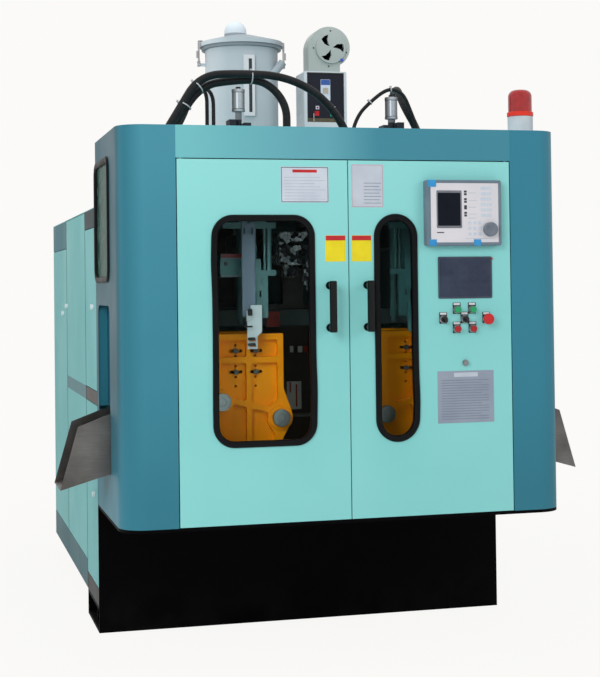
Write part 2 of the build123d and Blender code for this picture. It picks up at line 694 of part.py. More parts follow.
screw = rod_y(0, barrel_z, barrel_start + 15, barrel_end + 10, 19)
screw += rod_y(0, barrel_z, barrel_end - 10, barrel_end + 40, journal_r)
flight = Polyline((18, -4), (screw_r, -2.5), (screw_r, 2.5), (18, 4), close=True)
coil = Helix(pitch=62, height=hopper_d - barrel_start - 30, radius=18)
ridge = sweep(Plane.XZ * make_face(flight), path=coil, is_frenet=True)
screw += Pos(0, at(hopper_d), barrel_z) * Rot(90, 0, 0) * ridge
save("extruder_screw", screw)

motor_d = barrel_end + gearbox_long
motor_z = barrel_z - 60
drive = box(-150, 150, barrel_end, motor_d, beam_top, barrel_z + 145)
drive = fillet(drive.edges().filter_by(Axis.Z), 18)
drive += rod_y(0, motor_z, motor_d, drive_end - 20, 110)
drive += box(-100, 100, motor_d + 40, drive_end - 60, beam_top, motor_z - 85)
for k in range(9):
    drive += rod_y(0, motor_z, motor_d + 25 + 22 * k, motor_d + 31 + 22 * k, 120)
drive += rod_y(0, motor_z, drive_end - 20, drive_end, 122)
drive -= rod_y(0, barrel_z, barrel_end - 1, barrel_end + 42, journal_r + running)
save("extruder_unit", Compound([*barrel.solids(), *drive.solids()]))

# Beams that carry the extruder, between the corner posts of the cabinet
post_depths = (cab_start, column_end - 18.5, hopper_d + 83, machine_depth - post_size - sheet)
beam_low = beam_top - beam_tall
beams = box(-post_inner, post_inner, enclosure_depth, cab_start + 41, beam_low, beam_top)
for x in (-140, 80):
    beams += box(x, x + 60, cab_start + 41, post_depths[3], beam_low, beam_top)
beams += box(-post_inner, post_inner, post_depths[3], post_depths[3] + post_size, beam_low, beam_top)
save("cabinet_beams", beams)


# Sides of the rear cabinet: posts, rails, and fixed panels with plinths, knobs and hinge pins
def fixed_pan(d0, d1, z0, z1):
    whole = box(-half_width, -post_face, d0, d1, z0, z1)
    return whole - box(-half_width + sheet, -post_face + 1, d0 + sheet, d1 - sheet, z0 + sheet, z1 - sheet)


split = hopper_d + 103
panel_top = cabinet_top - 3
rear_top = cabinet_top - 136
column_pans = (
    (channel_tall, plinth_top), (plinth_top + 3, cabinet_top - 811), (cabinet_top - 808, cabinet_top - 753),
    (cabinet_top - 750, cabinet_top - 83), (cabinet_top - 80, panel_top),
)
mid_door = (column_end + side_gap, split - 2, side_plinth_top + 3, cabinet_top - 6)
rear_door = (split + 2, machine_depth - 3, side_plinth_top + 3, rear_top - 3)
side = Part()
for d in post_depths:
    side += box(-post_face, -post_inner, d, d + post_size, channel_tall, panel_top)
for z0, z1 in ((channel_tall, channel_tall + 30), (rear_top - 12, rear_top + 18)):
    side += box(-post_face, -post_inner, cab_start, cab_rear, z0, z1)
for z0, z1 in column_pans:
    side += fixed_pan(cab_start, column_end, z0, z1)
side += fixed_pan(mid_door[0], mid_door[1], channel_tall, side_plinth_top)
side += fixed_pan(rear_door[0], cab_rear, channel_tall, side_plinth_top)
side += fixed_pan(rear_door[0], cab_rear, rear_top, panel_top)
for d, z in ((cab_start + 99, cabinet_top - 409), (cab_start + 95, cabinet_top - 1180)):
    side += rod_x(d, z, -half_width - 12, -half_width, 11)
mid_axis = mid_door[0] + side_hinge_in
rear_axis = rear_door[1] - side_hinge_in
side_axis_x = half_width - side_hinge_deep
for d, limits in ((mid_axis, mid_door), (rear_axis, rear_door)):
    side += rod_z(-side_axis_x, d, side_plinth_top, limits[2], side_pin_r + 1)
    side += rod_z(-side_axis_x, d, limits[2], limits[2] + 16, side_pin_r)
    side += rod_z(-side_axis_x, d, limits[3] - 16, limits[3] + 3, side_pin_r)
save("cabinet_side_left", side)
save("cabinet_side_right", other_side(side))

# Routes of the hoses over the roof, and the glands on the cabinet roof that they end on
thick = 34.0
thin = 16.0
gland_top = cabinet_top + 12
main_a = [
    (-668, 800, gland_top), (-668, 800, 1850), (-590, 800, 1990), (-505, 800, 2128), (-408, 800, 2288),
    (-228, 800, 2300), (-40, 800, 2293), (120, 800, 2218), (226, 800, 2082), (278, 800, 1930),
    (290, 800, 1825), (290, 800, gland_top),
]
main_b = [
    (-645, 838, gland_top), (-645, 838, 1840), (-592, 838, 1962), (-498, 838, 2100), (-396, 838, 2250),
    (-255, 838, 2275), (-119, 838, 2281), (-22, 838, 2182), (-22, 838, 2050), (-28, 838, 1925),
    (-32, 838, 1825), (-32, 838, gland_top),
]
thin_line = [
    (-640, 1010, gland_top), (-640, 1010, 1835), (-592, 1010, 1940), (-530, 1010, 2036),
    (-470, 1010, 2128), (-432, 1008, 2228), (-398, 939, 2273), (-364, 870, 2228), (-364, 868, 2135),
    (-365, 866, 2030), (-366, 866, 1930), (-367, 866, 1832), (-367, 866, gland_top),
]
thin_two = [(x + 24, d - 20, z if k in (0, 12) else z - 12) for k, (x, d, z) in enumerate(thin_line)]
right_thin = [
    (236, 760, gland_top), (236, 760, 1835), (238, 760, 1945), (246, 760, 2050), (278, 760, 2132),
    (335, 760, 2188), (400, 760, 2238), (445, 760, 2241), (484, 760, 2218), (513, 760, 2150),
    (545, 760, 2070), (554, 760, 1965), (556, 760, 1852), (556, 760, gland_top),
]
right_thick = [
    (537, 1100, gland_top), (537, 1100, 1870), (540, 1100, 2022), (537, 1100, 2172), (522, 1030, 2260),
    (503, 910, 2265), (492, 842, 2225), (505, 800, 2160), (552, 800, 2082), (580, 800, 1985),
    (590, 800, 1862), (590, 800, gland_top),
]
routes = {
    "hose_thick_front": (main_a, thick),
    "hose_thick_back": (main_b, thick),
    "hose_thin_outer": (thin_line, thin),
    "hose_thin_inner": (thin_two, thin),
    "hose_right_thin": (right_thin, thin),
    "hose_right_thick": (right_thick, thick),
}

# Shell of the rear cabinet: roof with the hose glands, and rear wall with service ports and a mains gland
rear_half = half_width - side_deep - 1
shell = box(-half_width, half_width, enclosure_depth, machine_depth, panel_top, cabinet_top)
shell += box(-rear_half, rear_half, cab_rear, machine_depth, channel_tall, cabinet_top)
shell -= rod_z(0, hopper_d, cabinet_top - 10, cabinet_top + 1, 52)
port_x = (-420.0, -340.0, -260.0)
port_z = 430.0
port_r = 10.5
fittings = []
for x in port_x:
    port = box(x - 30, x + 30, machine_depth, machine_depth + 36, port_z - 35, port_z + 35)
    port -= rod_y(x, port_z, machine_depth + 8, machine_depth + 37, port_r)
    fittings += port.solids()
gland_x, gland_z, gland_r = 420.0, 430.0, 14.0
gland = rod_y(gland_x, gland_z, machine_depth, machine_depth + 12, 34)
gland += rod_y(gland_x, gland_z, machine_depth + 12, machine_depth + 40, 24)
gland -= rod_y(gland_x, gland_z, machine_depth + 6, machine_depth + 41, gland_r)
fittings += gland.solids()
for points, dia in routes.values():
    for x, d, z in (points[0], points[-1]):
        shell += rod_z(x, d, cabinet_top, z, dia / 2 + 3)
save("cabinet_shell", Compound([*shell.solids(), *fittings]))


def side_door(limits, axis_d, latch_d, latch_z):
    d0, d1, z0, z1 = limits
    inner = -half_width + side_deep
    leaf = box(-half_width, inner, d0, d1, z0, z1)
    leaf -= box(-half_width + sheet, inner + 1, d0 + sheet, d1 - sheet, z0 + sheet, z1 - sheet)
    lo, hi = axis_d - 8, axis_d + 8
    for a, b in ((z0 + sheet, z0 + 18), (z1 - 18, z1 - sheet)):
        leaf += box(-half_width + sheet, -half_width + 16, lo, hi, a, b)
    for a, b in ((z0 - 1, z0 + 17), (z1 - 17, z1 + 1)):
        leaf -= rod_z(-side_axis_x, axis_d, a, b, side_pin_r + running)
    leaf += rod_x(latch_d, latch_z, -half_width - 12, -half_width, 11)
    return leaf


mid_leaf = side_door(mid_door, mid_axis, mid_door[1] - 29, cabinet_top - 415)
rear_leaf = side_door(rear_door, rear_axis, rear_door[0] + 148, cabinet_top - 452)
save("side_door_middle_left", mid_leaf)
save("side_door_middle_right", other_side(mid_leaf))
save("side_door_rear_left", rear_leaf)
save("side_door_rear_right", other_side(rear_leaf))

# Hydraulic unit in the cabinet: tank on the base's cross members, pump motor, filter and valve block
tank_x = half_width - 211
tank_top = channel_tall + 414
tank = box(-tank_x, tank_x, tank_d0, tank_d1, channel_tall, tank_top)
tank = fillet(tank.edges().filter_by(Axis.Z), 20)
for d in (tank_d0 + 70, tank_d0 + 340):
    tank += box(-330, -50, d, d + 40, tank_top, tank_top + 40)
tank += rod_y(-190, tank_top + 160, tank_d0 + 70, tank_d0 + 400, 120)
tank += box(-250, -130, tank_d0 + 70, tank_d0 + 380, tank_top + 20, tank_top + 120)
tank += rod_y(-190, tank_top + 160, tank_d0 + 10, tank_d0 + 70, 60)
tank += rod_z(200, tank_d0 + 240, tank_top, tank_top + 80, 60)
tank += box(320, 520, tank_d0 + 140, tank_d0 + 340, tank_top, tank_top + 120)
save("hydraulic_unit", tank)

# Hopper dryer: shell with a cone and feed tube, collar, clamped lid with a cap, sight frame and air spout
bore = hopper_r - hopper_wall
feed_r = 50.0
foot_top = cabinet_top + 12
cone_top = cabinet_top + cone_tall
shell_line = [
    (feed_r, cabinet_top), (82, cabinet_top), (82, foot_top), (feed_r, foot_top), (hopper_r, cone_top),
    (hopper_r, shell_top), (hopper_r + 17, shell_top), (hopper_r + 17, lid_z), (bore, lid_z),
    (bore, cone_top + 1), (feed_r - hopper_wall, foot_top + 2), (feed_r - hopper_wall, cabinet_top),
]
shell = Pos(0, at(hopper_d), 0) * revolve(Plane.XZ * outline(shell_line), Axis.Z)
feed = rod_z(0, hopper_d, throat_top, foot_top, feed_r)
shell += feed - rod_z(0, hopper_d, throat_top - 8, foot_top + 10, throat_r)
lid_line = [(0, lid_z), (lid_r, lid_z), (lid_r, lid_z + lid_thick), (60, lid_z + 60), (0, lid_z + 64)]
lid = Pos(0, at(hopper_d), 0) * revolve(Plane.XZ * outline(lid_line), Axis.Z)
cap_x = -29.0
cap_r = 55.0
lid += rod_z(cap_x, hopper_d, lid_z + 30, lid_z + 77, cap_r)
lid += Pos(cap_x, at(hopper_d), lid_z + 77) * Sphere(cap_r)
frame_d = hopper_d - hopper_r - 12
inside = rod_z(0, hopper_d, shell_top - 366, shell_top, hopper_r - hopper_wall / 2)
shell += box(-29, 25, frame_d, frame_d + 22, shell_top - 344, shell_top - 49) - inside
shell -= box(-6, 10, frame_d - 8, frame_d + 4, shell_top - 326, shell_top - 66)
spout = Pos(hopper_r - 30, at(hopper_d - 130), shell_top - 106) * Rot(0, 40, -30) * Cylinder(20, 90)
shell += spout - inside
clamp_x = hopper_r + clamp_out
clamp_z = shell_top - clamp_drop
for s in (-1, 1):
    x0, x1 = sorted((s * (hopper_r - 1.2), s * (clamp_x + 6)))
    shell += box(x0, x1, hopper_d - 5, hopper_d + 5, clamp_z - 7, clamp_z + 7)
    shell += rod_y(s * clamp_x, clamp_z, hopper_d - 12, hopper_d + 12, clamp_pin)
save("hopper_dryer", Compound([*shell.solids(), *lid.solids()]))

# Over-centre clamps of the lid: each lever is forked round a tongue on the shell and turns on its pin
clamp_top = lid_z + lid_thick + 9
for name, s in (("lid_clamp_left", -1), ("lid_clamp_right", 1)):
    x0, x1 = sorted((s * (clamp_x - 3), s * (clamp_x + 3)))
    clamp = box(x0, x1, hopper_d - 11, hopper_d + 11, clamp_z + 16, clamp_top)
    x0, x1 = sorted((s * (clamp_x - 6), s * (clamp_x + 6)))
    for d0, d1 in ((-11, -5 - soft_gap), (5 + soft_gap, 11)):
        clamp += box(x0, x1, hopper_d + d0, hopper_d + d1, clamp_z - 8, clamp_z + 18)
    clamp -= rod_y(s * clamp_x, clamp_z, hopper_d - 13, hopper_d + 13, clamp_pin + running)
    x0, x1 = sorted((s * (lid_r - 10), s * (clamp_x + 3)))
    clamp += box(x0, x1, hopper_d - 11, hopper_d + 11, clamp_top - 6, clamp_top)
    x0, x1 = sorted((s * (clamp_x + 3), s * (clamp_x + 11)))
    clamp += box(x0, x1, hopper_d - 8, hopper_d + 8, clamp_z + 34, clamp_z + 68)
    save(name, clamp)

# Dryer control box with its pedestal, and two rocker switches
case = box(case_x0, case_x1, case_d0, case_d1, case_z0, case_z1)
case = fillet(case.edges().filter_by(Axis.Y), 8)
case -= box(case_x0 + 15, case_x1 - 13, case_d0 - 1, case_d0 + 6, case_z0 + 124, case_z1 - 6)
case += box(case_x0 + 49, case_x1 - 49, case_d0 + 20, case_d1 - 20, cabinet_top, case_z0)
duct_z = case_z0 + 35
duct = rod_x(hopper_d, duct_z, hopper_r - 30, case_x0, 30)
duct -= rod_x(hopper_d, duct_z, hopper_r - 40, case_x0 - 4, 30 - hopper_wall)
case += duct - rod_z(0, hopper_d, duct_z - 65, duct_z + 65, hopper_r + soft_gap)
for k in range(8):
    louvre = case_z0 + 170 + 14 * k
    case -= box(case_x0 - 1, case_x0 + 1.5, case_d0 + 30, case_d0 + 130, louvre, louvre + 5)
rockers = {
    "rocker_red": (case_x0 + 65, case_z0 + 167),
    "rocker_green": (case_x0 + 144, case_z0 + 165),
}
rocker_pin = 1.5
rocker_d = case_d0 + 13
for x, z in rockers.values():
    case -= box(x - 11.5, x + 11.5, case_d0 + 5, case_d0 + 22, z - 13.5, z + 13.5)
    case += rod_x(rocker_d, z, x - 12, x + 12, rocker_pin)
save("dryer_control_box", case)
for name, (x, z) in rockers.items():
    edge = [(3, 0), (0, 11), (16, 9), (16, -9), (4, -11)]
    rocker = slab_x(outline([(at(case_d0 + d), z + dz) for d, dz in edge]), x - 11, x + 11)
    rocker -= rod_x(rocker_d, z, x - 12, x + 12, rocker_pin + running)
    save(name, rocker)

# Blower: snail housing with an inlet plate with swept slots, motor at the back, and its impeller
snail_small = 94.0
snail_large = 114.0
fan_x = case_x0 + 138
fan_z = case_z1 + 116
fan_d = case_d0
fan_end = fan_d + fan_deep
fan_shaft = 7.0
snail = []
for k in range(14):
    a = -60 + k * 240 / 13
    r = snail_small + (a + 60) / 240 * (snail_large - snail_small)
    snail.append((fan_x + r * cos(radians(a)), fan_z + r * sin(radians(a))))
spiral = Spline(*snail)
run = Polyline(snail[-1], (fan_x - snail_large, case_z1), (fan_x + snail_small / 2, case_z1), snail[0])
housing = slab_y(make_face(spiral + run), fan_d, fan_end)
housing += rod_y(fan_x, fan_z, fan_d - 10, fan_d, 76)
housing -= rod_y(fan_x, fan_z, fan_d + 6, fan_end - 6, 86)
housing -= box(fan_x - snail_large + 6, fan_x - 72, fan_d + 6, fan_end - 6, case_z1 - 6, fan_z - 12)
for k in range(3):
    a = 120 * k
    wing = [(8, 2), (32, 20), (61, 22), (67, 0), (63, -22), (46, -6), (26, 0)]
    turned = [
        (fan_x + u * cos(radians(a)) - v * sin(radians(a)), fan_z + u * sin(radians(a)) + v * cos(radians(a)))
        for u, v in wing
    ]
    housing -= slab_y(fillet(outline(turned).vertices(), 1.5), fan_d - 20, fan_d + 10)
housing += rod_y(fan_x, fan_z, fan_end, fan_end + 100, 62)
housing -= rod_y(fan_x, fan_z, fan_end - 20, fan_end + 60, fan_shaft + running)
housing += rod_y(fan_x + 53, fan_z - 60, fan_d - 16, fan_d, 8)
save("blower_housing", housing)

wheel_d = fan_end - 20
wheel = rod_y(fan_x, fan_z, wheel_d, wheel_d + 4, 78) + rod_y(fan_x, fan_z, fan_d + 22, wheel_d + 4, 16)
for k in range(24):
    a = 2 * pi * k / 24
    spot = Pos(fan_x + 70 * cos(a), at((fan_d + wheel_d + 22) / 2), fan_z + 70 * sin(a))
    wheel += spot * Rot(0, -degrees(a) + 35, 0) * Box(14, wheel_d - fan_d - 18, 1.6)
wheel += rod_y(fan_x, fan_z, wheel_d + 4, fan_end + 50, fan_shaft)
save("blower_impeller", wheel)

# Signal beacon on the roof
beacon_x = half_width - 111
beacon_d = corner_r + 22
beacon_r = 47.0
ring_z = enclosure_top + 66
dome_z = ring_z + 18
lamp = rod_z(beacon_x, beacon_d, enclosure_top, ring_z, beacon_r + 3)
lamp += rod_z(beacon_x, beacon_d, enclosure_top, enclosure_top + 6, beacon_r + 9)
dome = rod_z(beacon_x, beacon_d, ring_z, dome_z, beacon_r + 5)
dome += rod_z(beacon_x, beacon_d, dome_z, dome_z + 88, beacon_r)
dome = fillet(dome.edges().filter_by(GeomType.CIRCLE).group_by(Axis.Z)[-1], 26)
save("beacon", Compound([*lamp.solids(), *dome.solids()]))


# Hoses over the roof: plain tubes of straight runs joined by tangent arcs, from gland to gland
def length_of(a, b):
    return sum((p - q) ** 2 for p, q in zip(a, b)) ** 0.5


def hose(name, points, dia):
    pts = [(x, at(d), z) for x, d, z in points]
    radii = []
    for a, b, c in zip(pts, pts[1:], pts[2:]):
        u = [(q - p) / length_of(a, b) for p, q in zip(a, b)]
        v = [(q - p) / length_of(b, c) for p, q in zip(b, c)]
        across = length_of(u, v) / 2
        half = across / (1 - across**2) ** 0.5
        radii.append(0.45 * min(length_of(a, b), length_of(b, c)) / half)
    path = FilletPolyline(*pts, radius=radii)
    start = Plane(origin=pts[0], z_dir=Vector(*pts[1]) - Vector(*pts[0]))
    tube = sweep(start * Circle(dia / 2), path=path)
    ideal = pi * dia**2 / 4 * path.length
    print(name, "length", round(path.length), "least radius / diameter", round(min(radii) / dia, 2))
    print(name, "volume / section x length", round(tube.volume / ideal, 5))
    save(name, tube)


for name, (points, dia) in routes.items():
    hose(name, points, dia)
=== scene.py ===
import json
import math

import bmesh
import bpy
import numpy as np
from mathutils import Matrix

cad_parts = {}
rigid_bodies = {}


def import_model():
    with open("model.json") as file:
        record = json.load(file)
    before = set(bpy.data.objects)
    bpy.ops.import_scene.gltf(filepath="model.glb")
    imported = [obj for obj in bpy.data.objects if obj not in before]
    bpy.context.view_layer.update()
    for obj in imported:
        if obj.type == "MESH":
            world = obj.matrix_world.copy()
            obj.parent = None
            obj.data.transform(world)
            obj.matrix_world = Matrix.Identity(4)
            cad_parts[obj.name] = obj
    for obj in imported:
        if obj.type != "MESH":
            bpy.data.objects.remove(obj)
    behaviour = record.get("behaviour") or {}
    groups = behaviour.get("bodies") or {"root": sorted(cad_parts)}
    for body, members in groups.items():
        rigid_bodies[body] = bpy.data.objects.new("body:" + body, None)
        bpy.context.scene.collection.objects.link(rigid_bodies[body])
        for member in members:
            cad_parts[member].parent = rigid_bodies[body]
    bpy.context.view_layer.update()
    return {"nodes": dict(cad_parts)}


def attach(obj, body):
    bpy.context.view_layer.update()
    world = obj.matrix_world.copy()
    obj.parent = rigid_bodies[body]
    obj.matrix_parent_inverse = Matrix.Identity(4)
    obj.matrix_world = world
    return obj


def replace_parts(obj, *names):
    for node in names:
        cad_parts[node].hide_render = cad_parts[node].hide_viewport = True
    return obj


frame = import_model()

nodes = frame["nodes"]

# The camera: it stood about 5.3 m before the doors and a little left of the machine, at window
# height, and its film plane is moved down so that the foot of the frame is in the picture.
yaw, pitch, roll = 0.254882, 0.017957, -0.012193
ahead = np.array([math.sin(yaw) * math.cos(pitch), math.cos(yaw) * math.cos(pitch), math.sin(pitch)])
level = np.array([math.cos(yaw), -math.sin(yaw), 0.0])
upright = np.cross(level, ahead)
camera_axes = np.eye(4)
camera_axes[:3, 0] = math.cos(roll) * level + math.sin(roll) * upright
camera_axes[:3, 1] = math.cos(roll) * upright - math.sin(roll) * level
camera_axes[:3, 2] = -ahead
camera_axes[:3, 3] = (-1.559267, -6.92775, 1.38915)
lens = bpy.data.cameras.new("camera")
lens.lens = 77.9
lens.sensor_width = 36.0
lens.shift_y = -0.1143
camera = bpy.data.objects.new("camera", lens)
camera.matrix_world = Matrix(camera_axes.tolist())
bpy.context.scene.collection.objects.link(camera)
bpy.context.scene.camera = camera


# The six hoses over the roof: black rubber hoses with wound cloth covers. Two thick and two thin
# ones rise together behind the left station, and one of each arches over the right one. Both ends
# go down through glands in the cabinet roof.
def back(depth):
    """Row Y in metres of a point that lies this many metres behind the front of the enclosure."""
    return depth - 1.668


def route(points):
    """Centreline of a hose: a smooth spline steered by the route's points, read back as a fine line."""
    curve = bpy.data.curves.new("route", "CURVE")
    curve.dimensions = "3D"
    curve.resolution_u = 16
    spline = curve.splines.new("NURBS")
    spline.points.add(len(points) - 1)
    spline.points.foreach_set("co", np.insert(np.array(points), 3, 1.0, axis=1).ravel())
    spline.order_u = 3
    spline.use_endpoint_u = True
    holder = bpy.data.objects.new("route", curve)
    bpy.context.scene.collection.objects.link(holder)
    bpy.context.view_layer.update()
    line = bpy.data.meshes.new_from_object(holder)
    path = np.empty(len(line.vertices) * 3)
    line.vertices.foreach_get("co", path)
    for left_over, store in ((holder, bpy.data.objects), (curve, bpy.data.curves), (line, bpy.data.meshes)):
        store.remove(left_over)
    return path.reshape(-1, 3)


def faces_of(rows, columns, loop_rows=False, loop_columns=False):
    """Quads of a grid of points: each joins a point with the next ones down and across, and a looped
    direction joins its last line of points to its first."""
    i = np.arange(rows if loop_rows else rows - 1)[:, None]
    j = np.arange(columns if loop_columns else columns - 1)[None, :]
    down, across = (i + 1) % rows, (j + 1) % columns
    corners = (i * columns + j, i * columns + across, down * columns + across, down * columns + j)
    return np.stack(np.broadcast_arrays(*corners), -1).reshape(-1, 4)


def solid_of(name, parts, finish, body, sharp=35, uv=None):
    """A piece from several grids of points, each given as points, loop_rows, loop_columns, caps. Caps
    close the first and last rows of a grid with one face each. Faces are turned outwards."""
    corners, quads, lids, start = [], [], [], 0
    for points, loop_rows, loop_columns, caps in parts:
        rows, columns = points.shape[:2]
        quads.append(faces_of(rows, columns, loop_rows, loop_columns) + start)
        if caps:
            ring = np.arange(columns) + start
            lids += [ring.tolist(), (ring + (rows - 1) * columns).tolist()]
        corners.append(points.reshape(-1, 3))
        start += rows * columns
    mesh = bpy.data.meshes.new(name)
    mesh.from_pydata(np.concatenate(corners).tolist(), [], np.concatenate(quads).tolist() + lids)
    if uv is not None:
        layer = mesh.uv_layers.new(name="UVMap")
        loops = np.empty(len(mesh.loops), int)
        mesh.loops.foreach_get("vertex_index", loops)
        layer.uv.foreach_set("vector", uv.reshape(-1, 2)[loops].ravel())
    shape = bmesh.new()
    shape.from_mesh(mesh)
    bmesh.ops.remove_doubles(shape, verts=shape.verts, dist=1e-7)
    bmesh.ops.recalc_face_normals(shape, faces=shape.faces)
    shape.to_mesh(mesh)
    shape.free()
    mesh.shade_smooth()
    mesh.set_sharp_from_angle(angle=math.radians(sharp))
    mesh.materials.append(finish)
    piece = bpy.data.objects.new(name, mesh)
    bpy.context.scene.collection.objects.link(piece)
    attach(piece, body)
    return piece


def tube_round(path, radius, sides):
    """Circles of this radius carried along a path: at each point the first radius is the last one's
    with its part along the path taken out, so that the circles don't turn."""
    ahead = np.gradient(path, axis=0)
    ahead /= np.linalg.norm(ahead, axis=1)[:, None]
    side = np.empty_like(path)
    last = np.array([0.0, -1.0, 0.0])
    for k, way in enumerate(ahead):
        last = last - last.dot(way) * way
        last /= np.linalg.norm(last)
        side[k] = last
    across = np.cross(ahead, side)
    turn = np.linspace(0, 2 * np.pi, sides, endpoint=False)
    return path[:, None] + radius * (
        np.cos(turn)[None, :, None] * side[:, None] + np.sin(turn)[None, :, None] * across[:, None])


def srgb(red, green, blue):
    """Linear colour of a paint that is given as on a screen, 0 to 255 for each part."""
    part = np.array([red, green, blue]) / 255
    linear = np.where(part <= 0.04045, part / 12.92, ((part + 0.055) / 1.055) ** 2.4)
    return (*linear.tolist(), 1.0)


def feed(tree, value, socket):
    """Gives an input another node's output, or a plain value."""
    if isinstance(value, bpy.types.NodeSocket):
        tree.links.new(value, socket)
    else:
        socket.default_value = value


def put(tree, kind, links=None, **settings):
    """A shader node with its settings; links gives inputs a value or another node's output, by the
    input's name or identifier."""
    made = tree.nodes.new("ShaderNode" + kind)
    for key, value in settings.items():
        setattr(made, key, value)
    for key, value in (links or {}).items():
        feed(tree, value, next(s for s in made.inputs if key in (s.identifier, s.name)))
    return made


def mixed(tree, share, first, second):
    """The colour between two others, by a share from 0 to 1."""
    links = {"Factor_Float": share, "A_Color": first, "B_Color": second}
    made = put(tree, "Mix", links, data_type="RGBA")
    return next(s for s in made.outputs if s.identifier == "Result_Color")


def sums(tree, way, first, second=0.5, clamp=False):
    """One step of arithmetic on values that change over the surface."""
    links = {"Value": first, "Value_001": second}
    return put(tree, "Math", links, operation=way, use_clamp=clamp).outputs[0]


def times(tree, first, second, clamp=False):
    """The product of two values."""
    return sums(tree, "MULTIPLY", first, second, clamp)


def clouds(tree, place, scale, detail):
    """Soft random clouds from 0 to 1, so many a metre, with this much fine detail in them."""
    return put(tree, "TexNoise", {"Vector": place, "Scale": scale, "Detail": detail}).outputs["Fac"]


def object_place(tree):
    """The place on the piece, in metres."""
    return put(tree, "TexCoord").outputs["Object"]


def coated(tree, shader, colour, rough):
    """Gives the shader a colour and a roughness that change over the surface."""
    tree.links.new(colour, shader.inputs["Base Color"])
    tree.links.new(rough, shader.inputs["Roughness"])


def between(tree, value, low, high, out_low=0.0, out_high=1.0):
    """The value's place between low and high, kept to the two limits out_low and out_high."""
    links = {"Value": value, "From Min": low, "From Max": high, "To Min": out_low, "To Max": out_high}
    return put(tree, "MapRange", links).outputs["Result"]


def finish_of(name, **plain):
    """A new material: its tree and its shader, with the plain values that are the same all over."""
    material = bpy.data.materials.new(name)
    material.use_nodes = True
    tree = material.node_tree
    shader = next(n for n in tree.nodes if n.type == "BSDF_PRINCIPLED")
    for key, value in plain.items():
        shader.inputs[key.replace("_", " ")].default_value = value
    return material, tree, shader


def bumped(tree, shader, height, relief):
    """Relief in metres of a height from 0 to 1, as seen in the shading."""
    bump = put(tree, "Bump", {"Height": height, "Distance": relief, "Strength": 1.0})
    tree.links.new(bump.outputs["Normal"], shader.inputs["Normal"])


def rubber_hose(name, turns):
    """Rubber under a cloth winding: the cloth leaves a screw of low ridges, so many turns a metre, and
    the raised ridges are greyer and duller than the grooves."""
    material, tree, shader = finish_of(name, Roughness=0.42, Specular_IOR_Level=0.45)
    place = put(tree, "UVMap", uv_map="UVMap").outputs["UV"]
    part = put(tree, "SeparateXYZ", {"Vector": place}).outputs
    screw = sums(tree, "ADD", times(tree, part["Y"], turns), part["X"])
    ridge = sums(tree, "PINGPONG", screw, 0.5)
    ridge = between(tree, ridge, 0.0, 0.16)
    there = object_place(tree)
    cloud = clouds(tree, there, 14.0, 4.0)
    fine = clouds(tree, there, 420.0, 2.0)
    dusty = between(tree, cloud, 0.45, 0.75, 0.0, 0.6)
    colour = mixed(tree, ridge, srgb(4, 4, 6), srgb(13, 14, 17))
    colour = mixed(tree, times(tree, dusty, ridge), colour, srgb(44, 46, 50))
    coated(tree, shader, colour, between(tree, cloud, 0.3, 0.7, 0.34, 0.55))
    bumped(tree, shader, sums(tree, "ADD", ridge, times(tree, fine, 0.35)), 0.0006)
    return material


hose_cloth = rubber_hose("hose_wound_rubber", 40.0)
hose_sides = 20
outer_thin = [
    (-0.64, 1.01, 1.74), (-0.64, 1.01, 1.835), (-0.592, 1.01, 1.94),
    (-0.53, 1.01, 2.036), (-0.47, 1.01, 2.128), (-0.432, 1.008, 2.228),
    (-0.398, 0.939, 2.273), (-0.364, 0.87, 2.228), (-0.364, 0.868, 2.135),
    (-0.365, 0.866, 2.03), (-0.366, 0.866, 1.93), (-0.367, 0.866, 1.832),
    (-0.367, 0.866, 1.74)]
inner_thin = [(x + 0.024, depth - 0.02, z if k in (0, 12) else z - 0.012)
              for k, (x, depth, z) in enumerate(outer_thin)]
hose_routes = {
    "hose_thick_front": (0.034, 1.667, [
        (-0.668, 0.8, 1.74), (-0.668, 0.8, 1.85), (-0.59, 0.8, 1.99),
        (-0.505, 0.8, 2.128), (-0.408, 0.8, 2.288), (-0.228, 0.8, 2.3),
        (-0.04, 0.8, 2.293), (0.12, 0.8, 2.218), (0.226, 0.8, 2.082),
        (0.278, 0.8, 1.93), (0.29, 0.8, 1.825), (0.29, 0.8, 1.74)]),
    "hose_thick_back": (0.034, 1.42, [
        (-0.645, 0.838, 1.74), (-0.645, 0.838, 1.84), (-0.592, 0.838, 1.962),
        (-0.498, 0.838, 2.1), (-0.396, 0.838, 2.25), (-0.255, 0.838, 2.275),
        (-0.119, 0.838, 2.281), (-0.022, 0.838, 2.182), (-0.022, 0.838, 2.05),
        (-0.028, 0.838, 1.925), (-0.032, 0.838, 1.825), (-0.032, 0.838, 1.74)]),
    "hose_thin_outer": (0.016, 1.186, outer_thin),
    "hose_thin_inner": (0.016, 1.162, inner_thin),
    "hose_right_thin": (0.016, 1.135, [
        (0.236, 0.76, 1.74), (0.236, 0.76, 1.835), (0.238, 0.76, 1.945),
        (0.246, 0.76, 2.05), (0.278, 0.76, 2.132), (0.335, 0.76, 2.188),
        (0.4, 0.76, 2.238), (0.445, 0.76, 2.241), (0.484, 0.76, 2.218),
        (0.513, 0.76, 2.15), (0.545, 0.76, 2.07), (0.554, 0.76, 1.965),
        (0.556, 0.76, 1.852), (0.556, 0.76, 1.74)]),
    "hose_right_thick": (0.034, 1.245, [
        (0.537, 1.1, 1.74), (0.537, 1.1, 1.87), (0.54, 1.1, 2.022),
        (0.537, 1.1, 2.172), (0.522, 1.03, 2.26), (0.503, 0.91, 2.265),
        (0.492, 0.842, 2.225), (0.505, 0.8, 2.16), (0.552, 0.8, 2.082),
        (0.58, 0.8, 1.985), (0.59, 0.8, 1.862), (0.59, 0.8, 1.74)]),
}
hose_lines = {}
